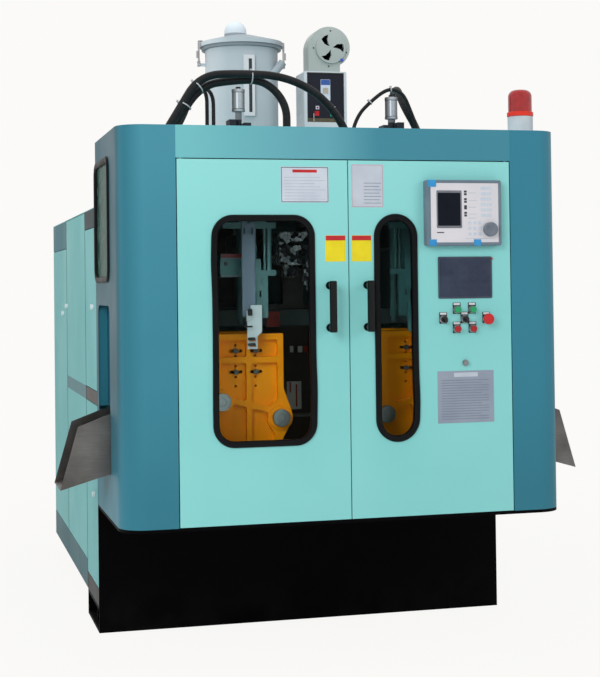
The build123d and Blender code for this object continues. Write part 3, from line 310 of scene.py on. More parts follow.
for name, (across, long, points) in hose_routes.items():
    points = [(x, back(depth), z) for x, depth, z in points]
    path = route(points)
    reach = np.concatenate([[0], np.cumsum(np.linalg.norm(np.diff(path, axis=0), axis=1))])
    around = np.linspace(0, 1, hose_sides, endpoint=False)
    cover = np.stack(np.broadcast_arrays(around[None, :], reach[:, None]), -1)
    tube = tube_round(path, across / 2, hose_sides), False, True, True
    hose = solid_of(name + "_cover", [tube], hose_cloth, "machine", uv=cover)
    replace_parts(hose, name)
    hose_lines[name] = path


# Cable ties round the hoses: pale nylon bands, pulled tight by hand, each with its square lock. They
# hold the bundles together at their knees and over the roof.
def band_round(centre, side, ahead, half_side, half_up, wide=0.005, thick=0.0016):
    """A flat band: a long oval loop across the hoses, with a rectangular section carried round it."""
    up = np.cross(ahead, side)
    turn = np.linspace(0, 2 * np.pi, 36, endpoint=False)
    loop = np.stack([np.cos(turn), np.sin(turn)], -1)
    section = [(0.0, -wide / 2), (thick, -wide / 2), (thick, wide / 2), (0.0, wide / 2)]
    rows = []
    for out, along in section:
        reach = loop * (np.array([half_side, half_up]) + out)
        rows.append(centre + reach[:, :1] * side + reach[:, 1:] * up + along * ahead)
    return np.stack(rows), True, True, False


def block(centre, first, second, third):
    """A block from its middle and its three half sides, as two rows of four corners."""
    ring = [(-1, -1), (1, -1), (1, 1), (-1, 1)]
    return np.array([[centre + a * first + b * second + c * third for a, b in ring] for c in (-1, 1)]), \
        False, True, True


def plain_finish(name, colour, shade, roughness, cloud_size=0.05, relief=0.0, grain=900.0, **plain):
    """A moulded or cast surface: its colour drifts a little to a second one in soft clouds, its gloss
    drifts with it, and a fine grain stands up by the relief."""
    material, tree, shader = finish_of(name, **plain)
    place = object_place(tree)
    cloud = clouds(tree, place, 1 / cloud_size, 4.0)
    share = between(tree, cloud, 0.32, 0.68)
    rough = between(tree, share, 0.0, 1.0, roughness * 0.88, roughness * 1.12)
    coated(tree, shader, mixed(tree, share, srgb(*colour), srgb(*shade)), rough)
    if relief:
        fine = clouds(tree, place, grain, 2.0)
        bumped(tree, shader, fine, relief)
    return material


tie_nylon = plain_finish("tie_nylon", (205, 208, 210), (170, 175, 180), 0.4, 0.02)


def tie_on(name, hose, across, half_side, half_up, lift=0.0, shift=0.0):
    """A tie where the hose passes this place across the machine, above the roof. To take in the hoses
    beside it, lift moves it up and shift to the front; below zero, down and back."""
    path = hose_lines[hose]
    k = int(np.argmin(np.abs(path[:, 0] - across) + 9.0 * (path[:, 2] < 2.0)))
    front = np.array([0.0, -1.0, 0.0])
    ahead = path[k + 1] - path[k - 1]
    ahead /= np.linalg.norm(ahead)
    up = np.cross(front, ahead)
    centre = path[k] + lift * up + shift * front
    lock = block(centre + (half_up + 0.003) * up, 0.0045 * front, 0.004 * up, 0.004 * ahead)
    return solid_of(name, [band_round(centre, front, ahead, half_side, half_up), lock], tie_nylon,
                    "machine")


tie_on("hose_tie_low", "hose_thick_front", -0.482, 0.0385, 0.0315, -0.012, -0.019)
tie_on("hose_tie_knee", "hose_thick_front", -0.424, 0.0385, 0.0315, -0.012, -0.019)
tie_on("hose_tie_top", "hose_thick_front", -0.177, 0.0385, 0.029, -0.01, -0.019)
tie_on("hose_tie_right_low", "hose_right_thin", 0.33, 0.0095, 0.0095)
tie_on("hose_tie_right_top", "hose_right_thin", 0.424, 0.0095, 0.0095)


# The base frame: welded steel channels behind a front plate, sprayed black, on foot plates that are
# bolted to the floor. The coat is dull, and dust lies on it near the ground.
def effect(name, inputs, outputs):
    """An empty shader group with these named sockets; returns its tree and its two ends."""
    tree = bpy.data.node_groups.new(name, "ShaderNodeTree")
    for label, kind, value in inputs:
        socket = tree.interface.new_socket(label, in_out="INPUT", socket_type="NodeSocket" + kind)
        if value is not None:
            socket.default_value = value
    for label, kind in outputs:
        tree.interface.new_socket(label, in_out="OUTPUT", socket_type="NodeSocket" + kind)
    return tree, tree.nodes.new("NodeGroupInput").outputs, tree.nodes.new("NodeGroupOutput").inputs


def used(tree, group, links):
    """One use of a group, with this material's own values."""
    made = tree.nodes.new("ShaderNodeGroup")
    made.node_tree = group
    for key, value in links.items():
        feed(tree, value, made.inputs[key])
    return made.outputs


# Uneven colour: two tones in soft clouds, and the share of the second one.
uneven, given, out = effect("uneven_colour", [
    ("Place", "Vector", None), ("Size", "Float", 0.4), ("First", "Color", (1, 1, 1, 1)),
    ("Second", "Color", (0.5, 0.5, 0.5, 1))], [("Colour", "Color"), ("Share", "Float")])
cloud = clouds(uneven, given["Place"], sums(uneven, "DIVIDE", 1.0, given["Size"]), 3.0)
share = between(uneven, cloud, 0.33, 0.67)
uneven.links.new(share, out["Share"])
uneven.links.new(mixed(uneven, share, given["First"], given["Second"]), out["Colour"])

# Worn edges: a mask along the edges, in patches, where the coat is rubbed off.
worn, given, out = effect("worn_edges", [
    ("Place", "Vector", None), ("Width", "Float", 0.0015), ("Amount", "Float", 0.5)], [("Mask", "Float")])
eased = put(worn, "Bevel", {"Radius": given["Width"]}, samples=4).outputs["Normal"]
plain_normal = put(worn, "NewGeometry").outputs["Normal"]
agree = put(worn, "VectorMath", {"Vector": eased, "Vector_001": plain_normal}, operation="DOT_PRODUCT")
edge = between(worn, agree.outputs["Value"], 0.995, 0.93)
patch = clouds(worn, given["Place"], 26.0, 5.0)
patch = between(worn, patch, 0.5, 0.62)
rubbed = times(worn, edge, patch)
worn.links.new(times(worn, rubbed, given["Amount"], True), out["Mask"])

# Sprayed paint: the height of fine drops on the slow waves of the coat.
sprayed, given, out = effect("sprayed_paint", [
    ("Place", "Vector", None), ("Drop", "Float", 0.0014)], [("Height", "Float")])
drop = clouds(sprayed, given["Place"], sums(sprayed, "DIVIDE", 1.0, given["Drop"]), 1.0)
sag = clouds(sprayed, given["Place"], 5.0, 1.0)
sprayed.links.new(sums(sprayed, "ADD", times(sprayed, drop, 0.06), sag), out["Height"])

# Settled dust: a mask in clouds, on faces that look up and near the floor.
settled, given, out = effect("settled_dust", [
    ("Place", "Vector", None), ("Amount", "Float", 0.3)], [("Mask", "Float")])
facing_up = put(settled, "NewGeometry").outputs["Normal"]
level_up = put(settled, "SeparateXYZ", {"Vector": facing_up}).outputs["Z"]
level_up = between(settled, level_up, 0.35, 0.95)
low_down = put(settled, "SeparateXYZ", {"Vector": given["Place"]}).outputs["Z"]
low_down = between(settled, low_down, 0.22, 0.0, 0.0, 0.7)
cloud = clouds(settled, given["Place"], 9.0, 6.0)
cloud = between(settled, cloud, 0.38, 0.66)
lying = times(settled, sums(settled, "MAXIMUM", level_up, low_down), cloud)
settled.links.new(times(settled, lying, given["Amount"], True), out["Mask"])


def painted(name, colour, shade, roughness, cloud_size=0.5, relief=0.0006, drop=0.0014,
            bare=(150, 155, 150), wear=0.35, dust=0.12, dusty=(150, 150, 142), fades=(), patches=(),
            **plain):
    """Sprayed sheet or casting: uneven colour, bare metal along worn edges, dust where it settles, and
    the drops and slow waves of the coat. Fades turn the coat to another colour along one axis, as axis,
    start, end and colour; several are painted light. Patches are boxes where a part of the same node has
    its own colour or where painted shade or a painted highlight lies, as low corner, high corner and
    colour; a corner is across, depth and height, and None leaves a side open."""
    plain.setdefault("Specular_IOR_Level", 0.3)
    material, tree, shader = finish_of(name, **plain)
    place = object_place(tree)
    tone = used(tree, uneven, {"Place": place, "Size": cloud_size, "First": srgb(*colour),
                               "Second": srgb(*shade)})
    coat = tone["Colour"]
    if patches or fades:
        axes = put(tree, "SeparateXYZ", {"Vector": place}).outputs
    for axis, start, end, paint in fades:
        coat = mixed(tree, between(tree, axes[axis], start, end), coat, srgb(*paint))
    for low, high, paint in patches:
        inside = None
        for axis, a, b in zip("XYZ", low, high):
            if a is None:
                continue
            if axis == "Y":
                a, b = back(a), back(b)
            middle, half = (a + b) / 2, (b - a) / 2
            off = sums(tree, "ABSOLUTE", sums(tree, "SUBTRACT", axes[axis], middle))
            here = sums(tree, "LESS_THAN", off, half)
            inside = here if inside is None else times(tree, inside, here)
        coat = mixed(tree, inside, coat, srgb(*paint))
    mask = used(tree, worn, {"Place": place, "Amount": wear})["Mask"]
    coat = mixed(tree, mask, coat, srgb(*bare))
    lying = used(tree, settled, {"Place": place, "Amount": dust})["Mask"]
    coat = mixed(tree, lying, coat, srgb(*dusty))
    rough = between(tree, tone["Share"], 0.0, 1.0, roughness - 0.05, roughness + 0.07)
    rough = sums(tree, "ADD", rough, times(tree, lying, 0.3), True)
    coated(tree, shader, coat, rough)
    bumped(tree, shader, used(tree, sprayed, {"Place": place, "Drop": drop})["Height"], relief)
    return material


def dressed(finish, *names):
    """These CAD nodes keep their shape and get this finish."""
    for name in names:
        for slot in nodes[name].material_slots:
            slot.material = finish


frame_black = painted("base_black_paint", (1, 1, 3), (3, 3, 5), 0.6, relief=0.0008, wear=0.15,
                      bare=(46, 45, 44), dust=0.12, dusty=(60, 58, 54), Specular_IOR_Level=0.06)
dressed(frame_black, "base_frame", "enclosure_bed")

# The enclosure: bent sheet corner walls and a roof with the header band over the doors, sprayed in a
# dark teal. The header carries painted light, much lighter on its left half, and the pocket walls
# behind the handling openings carry a deeper painted shade.
# Painted shade on the pocket walls behind the openings, and two small near-black squares.
pockets = [((side - 0.003, 0.286, 0.925), (side + 0.003, 0.754, 1.332), (20, 78, 98))
           for side in (-0.822, 0.822)]
pockets += [((side - 0.006, 0.404, 1.167), (side + 0.006, 0.43, 1.193), (26, 28, 32))
            for side in (-0.8298, 0.8298)]
# Painted light on the columns: lighter up high, darker low, shaded right column, left curve and side.
teal = painted("column_teal_paint", (60, 135, 155), (54, 129, 149), 0.4, relief=0.0005,
               fades=[("Z", 1.2, 1.95, (70, 143, 162)), ("X", 0.0, 0.6, (52, 129, 152)),
                      ("X", -0.772, -0.838, (43, 114, 133)), ("X", -0.85, -0.8605, (37, 86, 100)),
                      ("Z", 1.05, 0.6, (46, 120, 140))],
               patches=pockets)
# Painted light on the header: light on its left half, darkening towards the right.
header = painted("header_teal_paint", (113, 189, 195), (108, 184, 191), 0.38, relief=0.0005,
                 fades=[("X", -0.6, -0.15, (98, 167, 181)), ("X", -0.08, 0.12, (66, 138, 157))])
dressed(teal, "corner_wall_left", "corner_wall_right")
dressed(header, "enclosure_roof")

# The doors: pans folded from sheet steel and sprayed mint, glossier than the columns. They hang on
# pivot pins at their outer edges.
# The mint is a little lighter towards the top of the doors: painted light.
mint = painted("door_mint_paint", (140, 215, 214), (133, 210, 209), 0.34, relief=0.0004, wear=0.2,
               fades=[("Z", 1.3, 1.85, (145, 219, 218))])
dressed(mint, "door_left", "door_right")


# The windows: black rubber rings pushed over the edges of the openings by hand, so that they wander
# a little, each with a lip that holds its glass pane. The side windows have darker glass.
def rounded_line(u0, u1, v0, v1, r, steps=9, inset=0.0):
    """Outline of a rounded rectangle: four quarter turns about the four corner centres, of radius r
    less the inset."""
    turn = np.linspace(0, np.pi / 2, steps)
    reach = r - inset
    middles = ((u1 - r, v1 - r), (u0 + r, v1 - r), (u0 + r, v0 + r), (u1 - r, v0 + r))
    return np.concatenate([
        np.stack([u + reach * np.cos(turn + k * np.pi / 2), v + reach * np.sin(turn + k * np.pi / 2)], -1)
        for k, (u, v) in enumerate(middles)])


def facing_front(u, v, w):
    """A point of a front piece: across, up, and how far behind the front of the doors."""
    return np.stack(np.broadcast_arrays(u, back(w), v), -1)


def facing_left(u, v, w):
    """A point of a left piece: depth, height, and how far inside the left wall."""
    return np.stack(np.broadcast_arrays(-0.861 + w, back(u), v), -1)


def facing_right(u, v, w):
    """A point of a right piece: depth, height, and how far inside the right wall."""
    return np.stack(np.broadcast_arrays(0.861 - w, back(u), v), -1)


def stacked(layers, facing=facing_front, loop=False, steps=9):
    """Rounded rectangles stacked along the facing's depth: each layer is u0, u1, v0, v1, r, w. A looped
    stack joins its last layer to its first, which makes a ring; a plain one gets two lids."""
    rows = []
    for u0, u1, v0, v1, r, w in layers:
        line = rounded_line(u0, u1, v0, v1, r, steps)
        rows.append(facing(line[:, 0], line[:, 1], w))
    return np.stack(rows), loop, True, not loop


def plate(u0, u1, v0, v1, r, w0, w1, edge=0.0005, facing=facing_front, steps=5):
    """A flat plate with eased front edges, its front at w0 and its back at w1."""
    full, eased = (u0, u1, v0, v1, r), (u0 + edge, u1 - edge, v0 + edge, v1 - edge, max(r - edge, 1e-4))
    return stacked([(*full, w1), (*full, w0 + edge), (*eased, w0)], facing, steps=steps)


ring_lip = [(0.0, 0.0), (0.0004, -0.0048), (0.003, -0.0078), (0.0075, -0.009), (0.0125, -0.0088),
            (0.018, -0.0078), (0.0222, -0.005), (0.0238, -0.001), (0.024, 0.003), (0.024, 0.0105),
            (0.011, 0.0105), (0.0105, 0.0002)]


def window_ring(u0, u1, v0, v1, r, facing, swell=()):
    """The lip's section carried round the opening. Each swell moves the line out round one height of
    one side: the side, its height, its reach along the side and how far it moves."""
    rows = []
    for inset, w in ring_lip:
        line = rounded_line(u0, u1, v0, v1, r, 13, inset)
        ends = np.roll(line, -1, axis=0)
        share = np.linspace(0, 1, 24, endpoint=False)[None, :, None]
        long = np.linalg.norm(ends - line, axis=1) > 0.05
        line = np.concatenate([(a + (b - a) * share)[0] if far else a
                               for a, b, far in zip(line[:, None], ends[:, None], long)])
        for side, height, reach, out in swell:
            near = np.exp(-((line[:, 1] - height) / reach) ** 2)
            middle = (u0 + u1) / 2
            line[:, 0] += side * out * near * (np.sign(line[:, 0] - middle) == side)
        rows.append(facing(line[:, 0], line[:, 1], w))
    return np.stack(rows), True, True, False


gasket = plain_finish("gasket_black_rubber", (3, 4, 6), (9, 10, 14), 0.42, 0.06, 0.0002, 500.0,
                      Specular_IOR_Level=0.18)


def surface_of(tree, share, first, second):
    """The material's surface is the first shader, and the second one by a share from 0 to 1."""
    chosen = put(tree, "MixShader", {"Fac": share, "Shader": first, "Shader_001": second})
    end = next(n for n in tree.nodes if n.type == "OUTPUT_MATERIAL")
    tree.links.new(chosen.outputs[0], end.inputs["Surface"])


# The door glass lets a lamp's light through to what is behind it, and bends the light less than real
# glass, so that the pale room does not lie over what is behind the pane.
clear_glass, tree, shader = finish_of("door_glass", Base_Color=srgb(225, 238, 236), Roughness=0.02,
                                      Transmission_Weight=1.0, IOR=1.08)
clear = put(tree, "BsdfTransparent", {"Color": srgb(225, 235, 235)}).outputs[0]
lamp_ray = put(tree, "LightPath").outputs["Is Shadow Ray"]
surface_of(tree, lamp_ray, shader.outputs[0], clear)
dark_glass = plain_finish("side_glass", (22, 56, 48), (66, 108, 98), 0.22, 0.035,
                          Transmission_Weight=0.1, IOR=1.1, Specular_IOR_Level=0.2)

pane_inset = 0.016
left_window = (-0.522, -0.131, 0.804, 1.659, 0.08)
right_window = (0.099, 0.271, 0.803, 1.663, 0.0858)
side_window = (0.27, 0.7, 1.416, 1.899, 0.06)
for name, body, window, facing, node, swell in (
    ("door_left_window", "front_door_left", left_window, facing_front, "door_left_window",
     [(-1, 1.49, 0.09, 0.0035), (1, 1.0, 0.1, 0.0035), (-1, 0.95, 0.12, 0.0015)]),
    ("door_right_window", "front_door_right", right_window, facing_front, "door_right_window",
     [(1, 0.96, 0.08, 0.0035), (-1, 1.35, 0.12, 0.0015)]),
    ("side_window_left", "machine", side_window, facing_left, "side_windows", [(1, 1.6, 0.08, 0.002)]),
    ("side_window_right", "machine", side_window, facing_right, "side_windows", [(-1, 1.7, 0.08, 0.002)]),
):
    ring = solid_of(name + "_ring", [window_ring(*window, facing, swell)], gasket, body, 60)
    u0, u1, v0, v1, r = window
    inner = (u0 + pane_inset, u1 - pane_inset, v0 + pane_inset, v1 - pane_inset, r - pane_inset)
    pane = solid_of(name + "_pane", [stacked([(*inner, 0.0085), (*inner, 0.0035)], facing)],
                    clear_glass if body != "machine" else dark_glass, body)
    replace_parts(ring, node)
    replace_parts(pane, node)

# The door handles: black moulded bars, shiny from use, each on two round feet that are screwed to
# the door.
handle_black = plain_finish("handle_black", (2, 3, 4), (8, 9, 11), 0.24, 0.04, 0.00003, 700.0,
                            Specular_IOR_Level=0.35)
dressed(handle_black, "door_left_handle", "door_right_handle")

# The control unit on the right door: a cast grey-blue rim round a pale membrane face, a dark screen
# in its bezel, raised keys, a jog knob, and blue tabs of the film that still covers the corners.
unit_rim = plain_finish("control_unit_rim", (112, 130, 144), (98, 116, 130), 0.45, 0.12, 0.00008)
unit_face = plain_finish("control_unit_face", (224, 222, 228), (214, 213, 220), 0.42, 0.2)
unit_glass = plain_finish("control_unit_screen", (14, 18, 28), (22, 27, 38), 0.2, 0.1,
                          Specular_IOR_Level=0.1)
ink_dark = plain_finish("panel_ink_dark", (40, 42, 50), (56, 58, 66), 0.5, 0.02)
ink_pale = plain_finish("panel_ink_pale", (176, 186, 202), (190, 198, 210), 0.45, 0.03)
film_blue = plain_finish("film_tab_blue", (40, 140, 205), (60, 158, 215), 0.35, 0.03)
rim = stacked([
    (0.298, 0.601, 1.54, 1.79, 0.008, 0.0), (0.298, 0.601, 1.54, 1.79, 0.008, -0.0325),
    (0.3005, 0.5985, 1.5425, 1.7875, 0.007, -0.035), (0.312, 0.591, 1.551, 1.78, 0.004, -0.035),
    (0.316, 0.589, 1.553, 1.778, 0.003, -0.0328), (0.316, 0.589, 1.553, 1.778, 0.003, 0.0)], loop=True)
bezel = stacked([
    (0.339, 0.44, 1.607, 1.75, 0.004, -0.0325), (0.339, 0.44, 1.607, 1.75, 0.004, -0.0342),
    (0.3405, 0.4385, 1.6085, 1.7485, 0.003, -0.0347), (0.3425, 0.4365, 1.6145, 1.7425, 0.002, -0.0347),
    (0.344, 0.435, 1.616, 1.741, 0.002, -0.0335), (0.344, 0.435, 1.616, 1.741, 0.002, -0.0325)], loop=True)
in_face, ink_top, key_top, film_top = -0.0328, -0.0333, -0.0336, -0.0356
pads = [plate(x - 0.0105, x + 0.0105, z - 0.006, z + 0.006, 0.002, key_top, in_face, 0.0003)
        for x in (0.5275, 0.5515) for z in np.arange(1.656, 1.762, 0.0205)]
pads += [plate(x - 0.006, x + 0.006, z - 0.006, z + 0.006, 0.002, key_top, in_face, 0.0003)
         for x in (0.472, 0.492, 0.512) for z in (1.585, 1.606, 1.627)]
marks = [plate(0.45, 0.461, z - 0.004, z + 0.004, 0.001, ink_top, in_face, 0.0002)
         for z in (1.746, 1.736, 1.717, 1.707, 1.69, 1.682, 1.665, 1.655)]
marks += [plate(0.3395, 0.368, 1.5885, 1.5925, 0.001, ink_top, in_face, 0.0002)]
lines = [plate(0.468, 0.468 + long, z - 0.0011, z + 0.0011, 0.0005, ink_top, in_face, 0.0002)
         for z, long in ((1.741, 0.03), (1.712, 0.034), (1.6865, 0.03), (1.66, 0.033), (1.645, 0.03))]
lines += [plate(0.452, 0.566, 1.566, 1.5685, 0.0005, ink_top, in_face, 0.0002)]
tabs = [plate(*tab, 0.001, film_top, in_face, 0.0003) for tab in (
    (0.305, 0.337, 1.764, 1.79), (0.309, 0.337, 1.54, 1.564), (0.488, 0.516, 1.54, 1.564))]
for name, parts, finish, slot in (
    ("control_unit_rim", [rim], unit_rim, "control_grey"),
    ("control_unit_face", [plate(0.3155, 0.5895, 1.5525, 1.7785, 0.003, -0.033, -0.02)], unit_face,
     "control_grey"),
    ("control_unit_bezel", [bezel],
     plain_finish("bezel_grey", (120, 124, 134), (104, 108, 118), 0.4, 0.05), "control_grey"),
    ("control_unit_screen", [plate(0.3435, 0.4355, 1.6155, 1.7415, 0.002, -0.0334, -0.0325, 0.0002)],
     unit_glass, "black_plastic"),
    ("control_unit_keys", pads,
     plain_finish("key_pale_blue", (204, 214, 226), (192, 204, 220), 0.4, 0.03), "control_grey"),
    ("control_unit_marks", marks, ink_dark, "black_plastic"),
    ("control_unit_lines", lines, ink_pale, "control_grey"),
    ("control_unit_film_tabs", tabs, film_blue, "window_glass"),
):
    piece = solid_of(name, parts, finish, "front_door_right")
    if name in ("control_unit_rim", "control_unit_face"):
        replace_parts(piece, "operator_controls")

# The keypad below it: a dark blue membrane in a flat frame, under a film that is still on and has
# crept into wrinkles round the twelve keys.
film_left, film_right, film_low, film_high = 0.361, 0.563, 1.348, 1.491
pad_u, pad_v = np.meshgrid(np.linspace(film_left, film_right, 130), np.linspace(film_low, film_high, 96))
keys = np.zeros_like(pad_u)
for key_u in np.linspace(0.405, 0.535, 4):
    for key_v in (1.38, 1.415, 1.45):
        far = ((pad_u - key_u) / 0.0125) ** 4 + ((pad_v - key_v) / 0.0125) ** 4
        keys += 0.0012 * np.exp(-far)
edge_fall = np.minimum.reduce([pad_u - film_left, film_right - pad_u, pad_v - film_low, film_high - pad_v])
wrinkle = np.sin(310 * pad_u + 90 * np.sin(41 * pad_v)) * np.sin(260 * pad_v + 70 * np.sin(57 * pad_u))
film = 0.0053 + (keys + 0.0007 * wrinkle * np.clip(1 - 120 * np.abs(keys - 0.0006), 0.25, 1)) * \
    np.clip(edge_fall / 0.012, 0, 1)
film_rows = np.concatenate([facing_front(pad_u[:1], pad_v[:1], -0.004), facing_front(pad_u, pad_v, -film),
                            facing_front(pad_u[-1:], pad_v[-1:], -0.004)])
keypad_blue = plain_finish("keypad_navy_film", (50, 60, 82), (40, 50, 72), 0.25, 0.05, Coat_Weight=0.25,
                           Coat_Roughness=0.12, Specular_IOR_Level=0.3)
keypad = solid_of("keypad_film", [(film_rows, False, False, False)], keypad_blue, "front_door_right",
                  80)
keypad.data.flip_normals()
frame_part = stacked([
    (0.353, 0.571, 1.34, 1.499, 0.005, 0.0), (0.353, 0.571, 1.34, 1.499, 0.005, -0.0036),
    (0.354, 0.57, 1.341, 1.498, 0.004, -0.0044), (0.36, 0.564, 1.347, 1.492, 0.003, -0.0044),
    (0.3615, 0.5625, 1.3485, 1.4905, 0.003, -0.0035), (0.3615, 0.5625, 1.3485, 1.4905, 0.003, 0.0)],
    loop=True)
keypad_rim = solid_of("keypad_frame", [frame_part],
                      plain_finish("keypad_frame_navy", (64, 74, 92), (54, 62, 80), 0.4, 0.05),
                      "front_door_right")
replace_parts(keypad, "operator_controls")
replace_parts(keypad_rim, "operator_controls")
solid_of("keypad_signal", [plate(0.566, 0.5745, 1.487, 1.4955, 0.004, -0.0062, -0.003, 0.001)],
         plain_finish("signal_red", (190, 20, 26), (170, 12, 18), 0.3, 0.01), "front_door_right")


# Push buttons and switches: each head sits in a bright collar over a black plate with a plain white
# field. The key lock below has a chromed barrel.
def turned(profile, axis, place, sides=32):
    """A profile of (distance along the axis, radius) turned round the axis through the place."""
    profile = np.array(profile)
    turn = np.linspace(0, 2 * np.pi, sides, endpoint=False)
    axis = np.asarray(axis, float)
    first = np.cross(axis, (0.0, 0.0, 1.0) if abs(axis[2]) < 0.9 else (1.0, 0.0, 0.0))
    first /= np.linalg.norm(first)
    second = np.cross(axis, first)
    circle = np.cos(turn)[:, None] * first + np.sin(turn)[:, None] * second
    points = np.asarray(place) + profile[:, :1, None] * axis + profile[:, 1:, None] * circle[None]
    return points, False, True, True


spots = {"green_button_left": (0.426, 1.297), "green_button_right": (0.488, 1.297),
         "red_button_left": (0.425, 1.224), "red_button_right": (0.489, 1.224),
         "stop_button": (0.546, 1.26), "selector_left": (0.371, 1.261), "selector_right": (0.457, 1.261)}
legends = [plate(x - 0.0155, x + 0.0155, z - 0.016, z + 0.027, 0.002, -0.002, 0.0, 0.0004)
           for x, z in spots.values()]
fields = [plate(x - 0.0125, x + 0.0125, z + 0.0175, z + 0.0255, 0.0008, -0.0024, -0.0018, 0.0002)
          for x, z in spots.values()]
collar_line = [(0.0, 0.0148), (0.004, 0.0148), (0.0045, 0.014), (0.0115, 0.0138), (0.0125, 0.0144),
               (0.015, 0.0144), (0.016, 0.0136), (0.016, 0.0128), (0.001, 0.0127), (0.001, 0.0055)]
collars = [turned(collar_line, (0, -1, 0), (x, back(0.0), z)) for x, z in spots.values()]
black_plate = plain_finish("legend_plate_black", (22, 22, 26), (32, 32, 36), 0.4, 0.02)
white_field = plain_finish("legend_field_white", (226, 230, 234), (212, 216, 222), 0.45, 0.01)
chrome = plain_finish("chromed_brass", (190, 192, 196), (170, 172, 178), 0.16, 0.02, Metallic=1.0)
for name, parts, finish, slot in (("legend_plates", legends, black_plate, "black_plastic"),
                                  ("legend_fields", fields, white_field, "control_grey"),
                                  ("button_collars", collars, chrome, "chrome_steel")):
    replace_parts(solid_of(name, parts, finish, "front_door_right"), "operator_controls")
lock_line = [(0.0, 0.013), (0.003, 0.013), (0.004, 0.0122), (0.004, 0.0095), (0.0125, 0.009),
             (0.014, 0.0078), (0.014, 0.0062), (0.0132, 0.006), (0.0132, 0.0005)]
lock = solid_of("key_lock", [turned(lock_line, (0, -1, 0), (0.459, back(0.0), 1.094))], chrome,
                "front_door_right")
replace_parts(lock, "operator_controls")
dressed(plain_finish("button_green", (12, 166, 104), (6, 140, 84), 0.28, 0.01, Coat_Weight=0.3),
        "green_button_left", "green_button_right")
dressed(plain_finish("button_red", (180, 16, 22), (150, 8, 14), 0.28, 0.01, Coat_Weight=0.3),
        "red_button_left", "red_button_right")
dressed(plain_finish("stop_button_red", (204, 30, 36), (184, 20, 28), 0.32, 0.02, Coat_Weight=0.2),
        "stop_button")
dressed(plain_finish("selector_black", (20, 20, 23), (34, 34, 38), 0.35, 0.01),
        "selector_left", "selector_right")
dressed(plain_finish("jog_knob_grey", (120, 130, 142), (104, 114, 126), 0.45, 0.03, 0.00004),
        "operator_knob")

# Plates on the doors, riveted or stuck on: a white one with a dark border and a red bar, a pale one,
# two yellow ones with red heads, and a grey instruction plate with ruled lines.
plate_white = plain_finish("plate_white", (206, 214, 226), (192, 202, 216), 0.35, 0.08)
plate_pale = plain_finish("plate_pale_grey", (196, 204, 216), (184, 193, 208), 0.38, 0.08)
plate_yellow = plain_finish("plate_yellow", (238, 220, 30), (228, 208, 20), 0.35, 0.05)
plate_red = plain_finish("plate_red", (198, 40, 44), (182, 30, 36), 0.35, 0.05)
plate_grey = plain_finish("plate_grey", (150, 160, 176), (140, 150, 168), 0.4, 0.1)
rule_grey = plain_finish("plate_ruled_grey", (122, 132, 150), (112, 122, 140), 0.45, 0.02)
ink_thick, sheet_top, print_top = 0.0002, -0.0007, -0.0009


def outlined(u0, u1, v0, v1, wide, w):
    """A flat printed border."""
    outer, inner = (u0, u1, v0, v1, 0.002), (u0 + wide, u1 - wide, v0 + wide, v1 - wide, 0.001)
    layers = [(*outer, w + ink_thick), (*outer, w), (*inner, w), (*inner, w + ink_thick)]
    return stacked(layers, loop=True, steps=3)


def strip(u0, u1, v0, v1, w):
    """A flat printed bar."""
    return stacked([(u0, u1, v0, v1, 0.0004, w + ink_thick), (u0, u1, v0, v1, 0.0004, w)], steps=2)


for name, body, parts, finish, slot in (
    ("plate_left", "front_door_left", [plate(-0.259, -0.075, 1.704, 1.838, 0.003, sheet_top, 0.0)],
     plate_white, "box_white"),
    ("plate_left_border", "front_door_left", [outlined(-0.257, -0.077, 1.706, 1.836, 0.0022, print_top)],
     ink_dark, "black_plastic"),
    ("plate_left_bar", "front_door_left", [strip(-0.214, -0.12, 1.816, 1.827, print_top)], plate_red,
     "button_red"),
    ("plate_left_rules", "front_door_left",
     [strip(-0.246, -0.088 - 0.02 * (k % 3), z, z + 0.0028, print_top)
      for k, z in enumerate(np.arange(1.716, 1.806, 0.0115))], ink_pale, "control_grey"),
    ("plate_right", "front_door_right", [plate(0.013, 0.139, 1.687, 1.849, 0.003, sheet_top, 0.0)],
     plate_pale, "control_grey"),
    ("plate_right_border", "front_door_right", [outlined(0.015, 0.137, 1.689, 1.847, 0.0018, print_top)],
     plain_finish("plate_border_rose", (190, 150, 158), (178, 140, 150), 0.4, 0.02), "button_red"),
    ("plate_right_rules", "front_door_right",
     [strip(0.062, 0.13 - 0.006 * (k % 2), z, z + 0.0022, print_top)
      for k, z in enumerate(np.arange(1.702, 1.782, 0.0125))], rule_grey, "control_grey"),
    ("plate_yellow_left", "front_door_left", [plate(-0.09, -0.012, 1.484, 1.582, 0.002, sheet_top, 0.0)],
     plate_yellow, "platen_orange"),
    ("plate_yellow_left_head", "front_door_left", [strip(-0.089, -0.013, 1.563, 1.581, print_top)],
     plate_red, "button_red"),
    ("plate_yellow_right", "front_door_right", [plate(0.012, 0.089, 1.484, 1.582, 0.002, sheet_top, 0.0)],
     plate_yellow, "platen_orange"),
    ("plate_yellow_right_head", "front_door_right", [strip(0.013, 0.088, 1.563, 1.581, print_top)],
     plate_red, "button_red"),
    ("instruction_plate", "front_door_right", [plate(0.345, 0.573, 0.866, 1.064, 0.002, -0.0009, 0.0)],
     plate_grey, "knob_grey"),
    ("instruction_plate_head", "front_door_right", [strip(0.412, 0.508, 1.041, 1.057, -0.0011)],
     plate_pale, "control_grey"),
    ("instruction_plate_rules", "front_door_right",
     [strip(0.36, 0.552 - 0.03 * (k % 4 == 2), z, z + 0.0026, -0.0011)
      for k, z in enumerate(np.arange(0.88, 1.032, 0.0098))], rule_grey, "knob_grey"),
):
    solid_of(name, parts, finish, body)
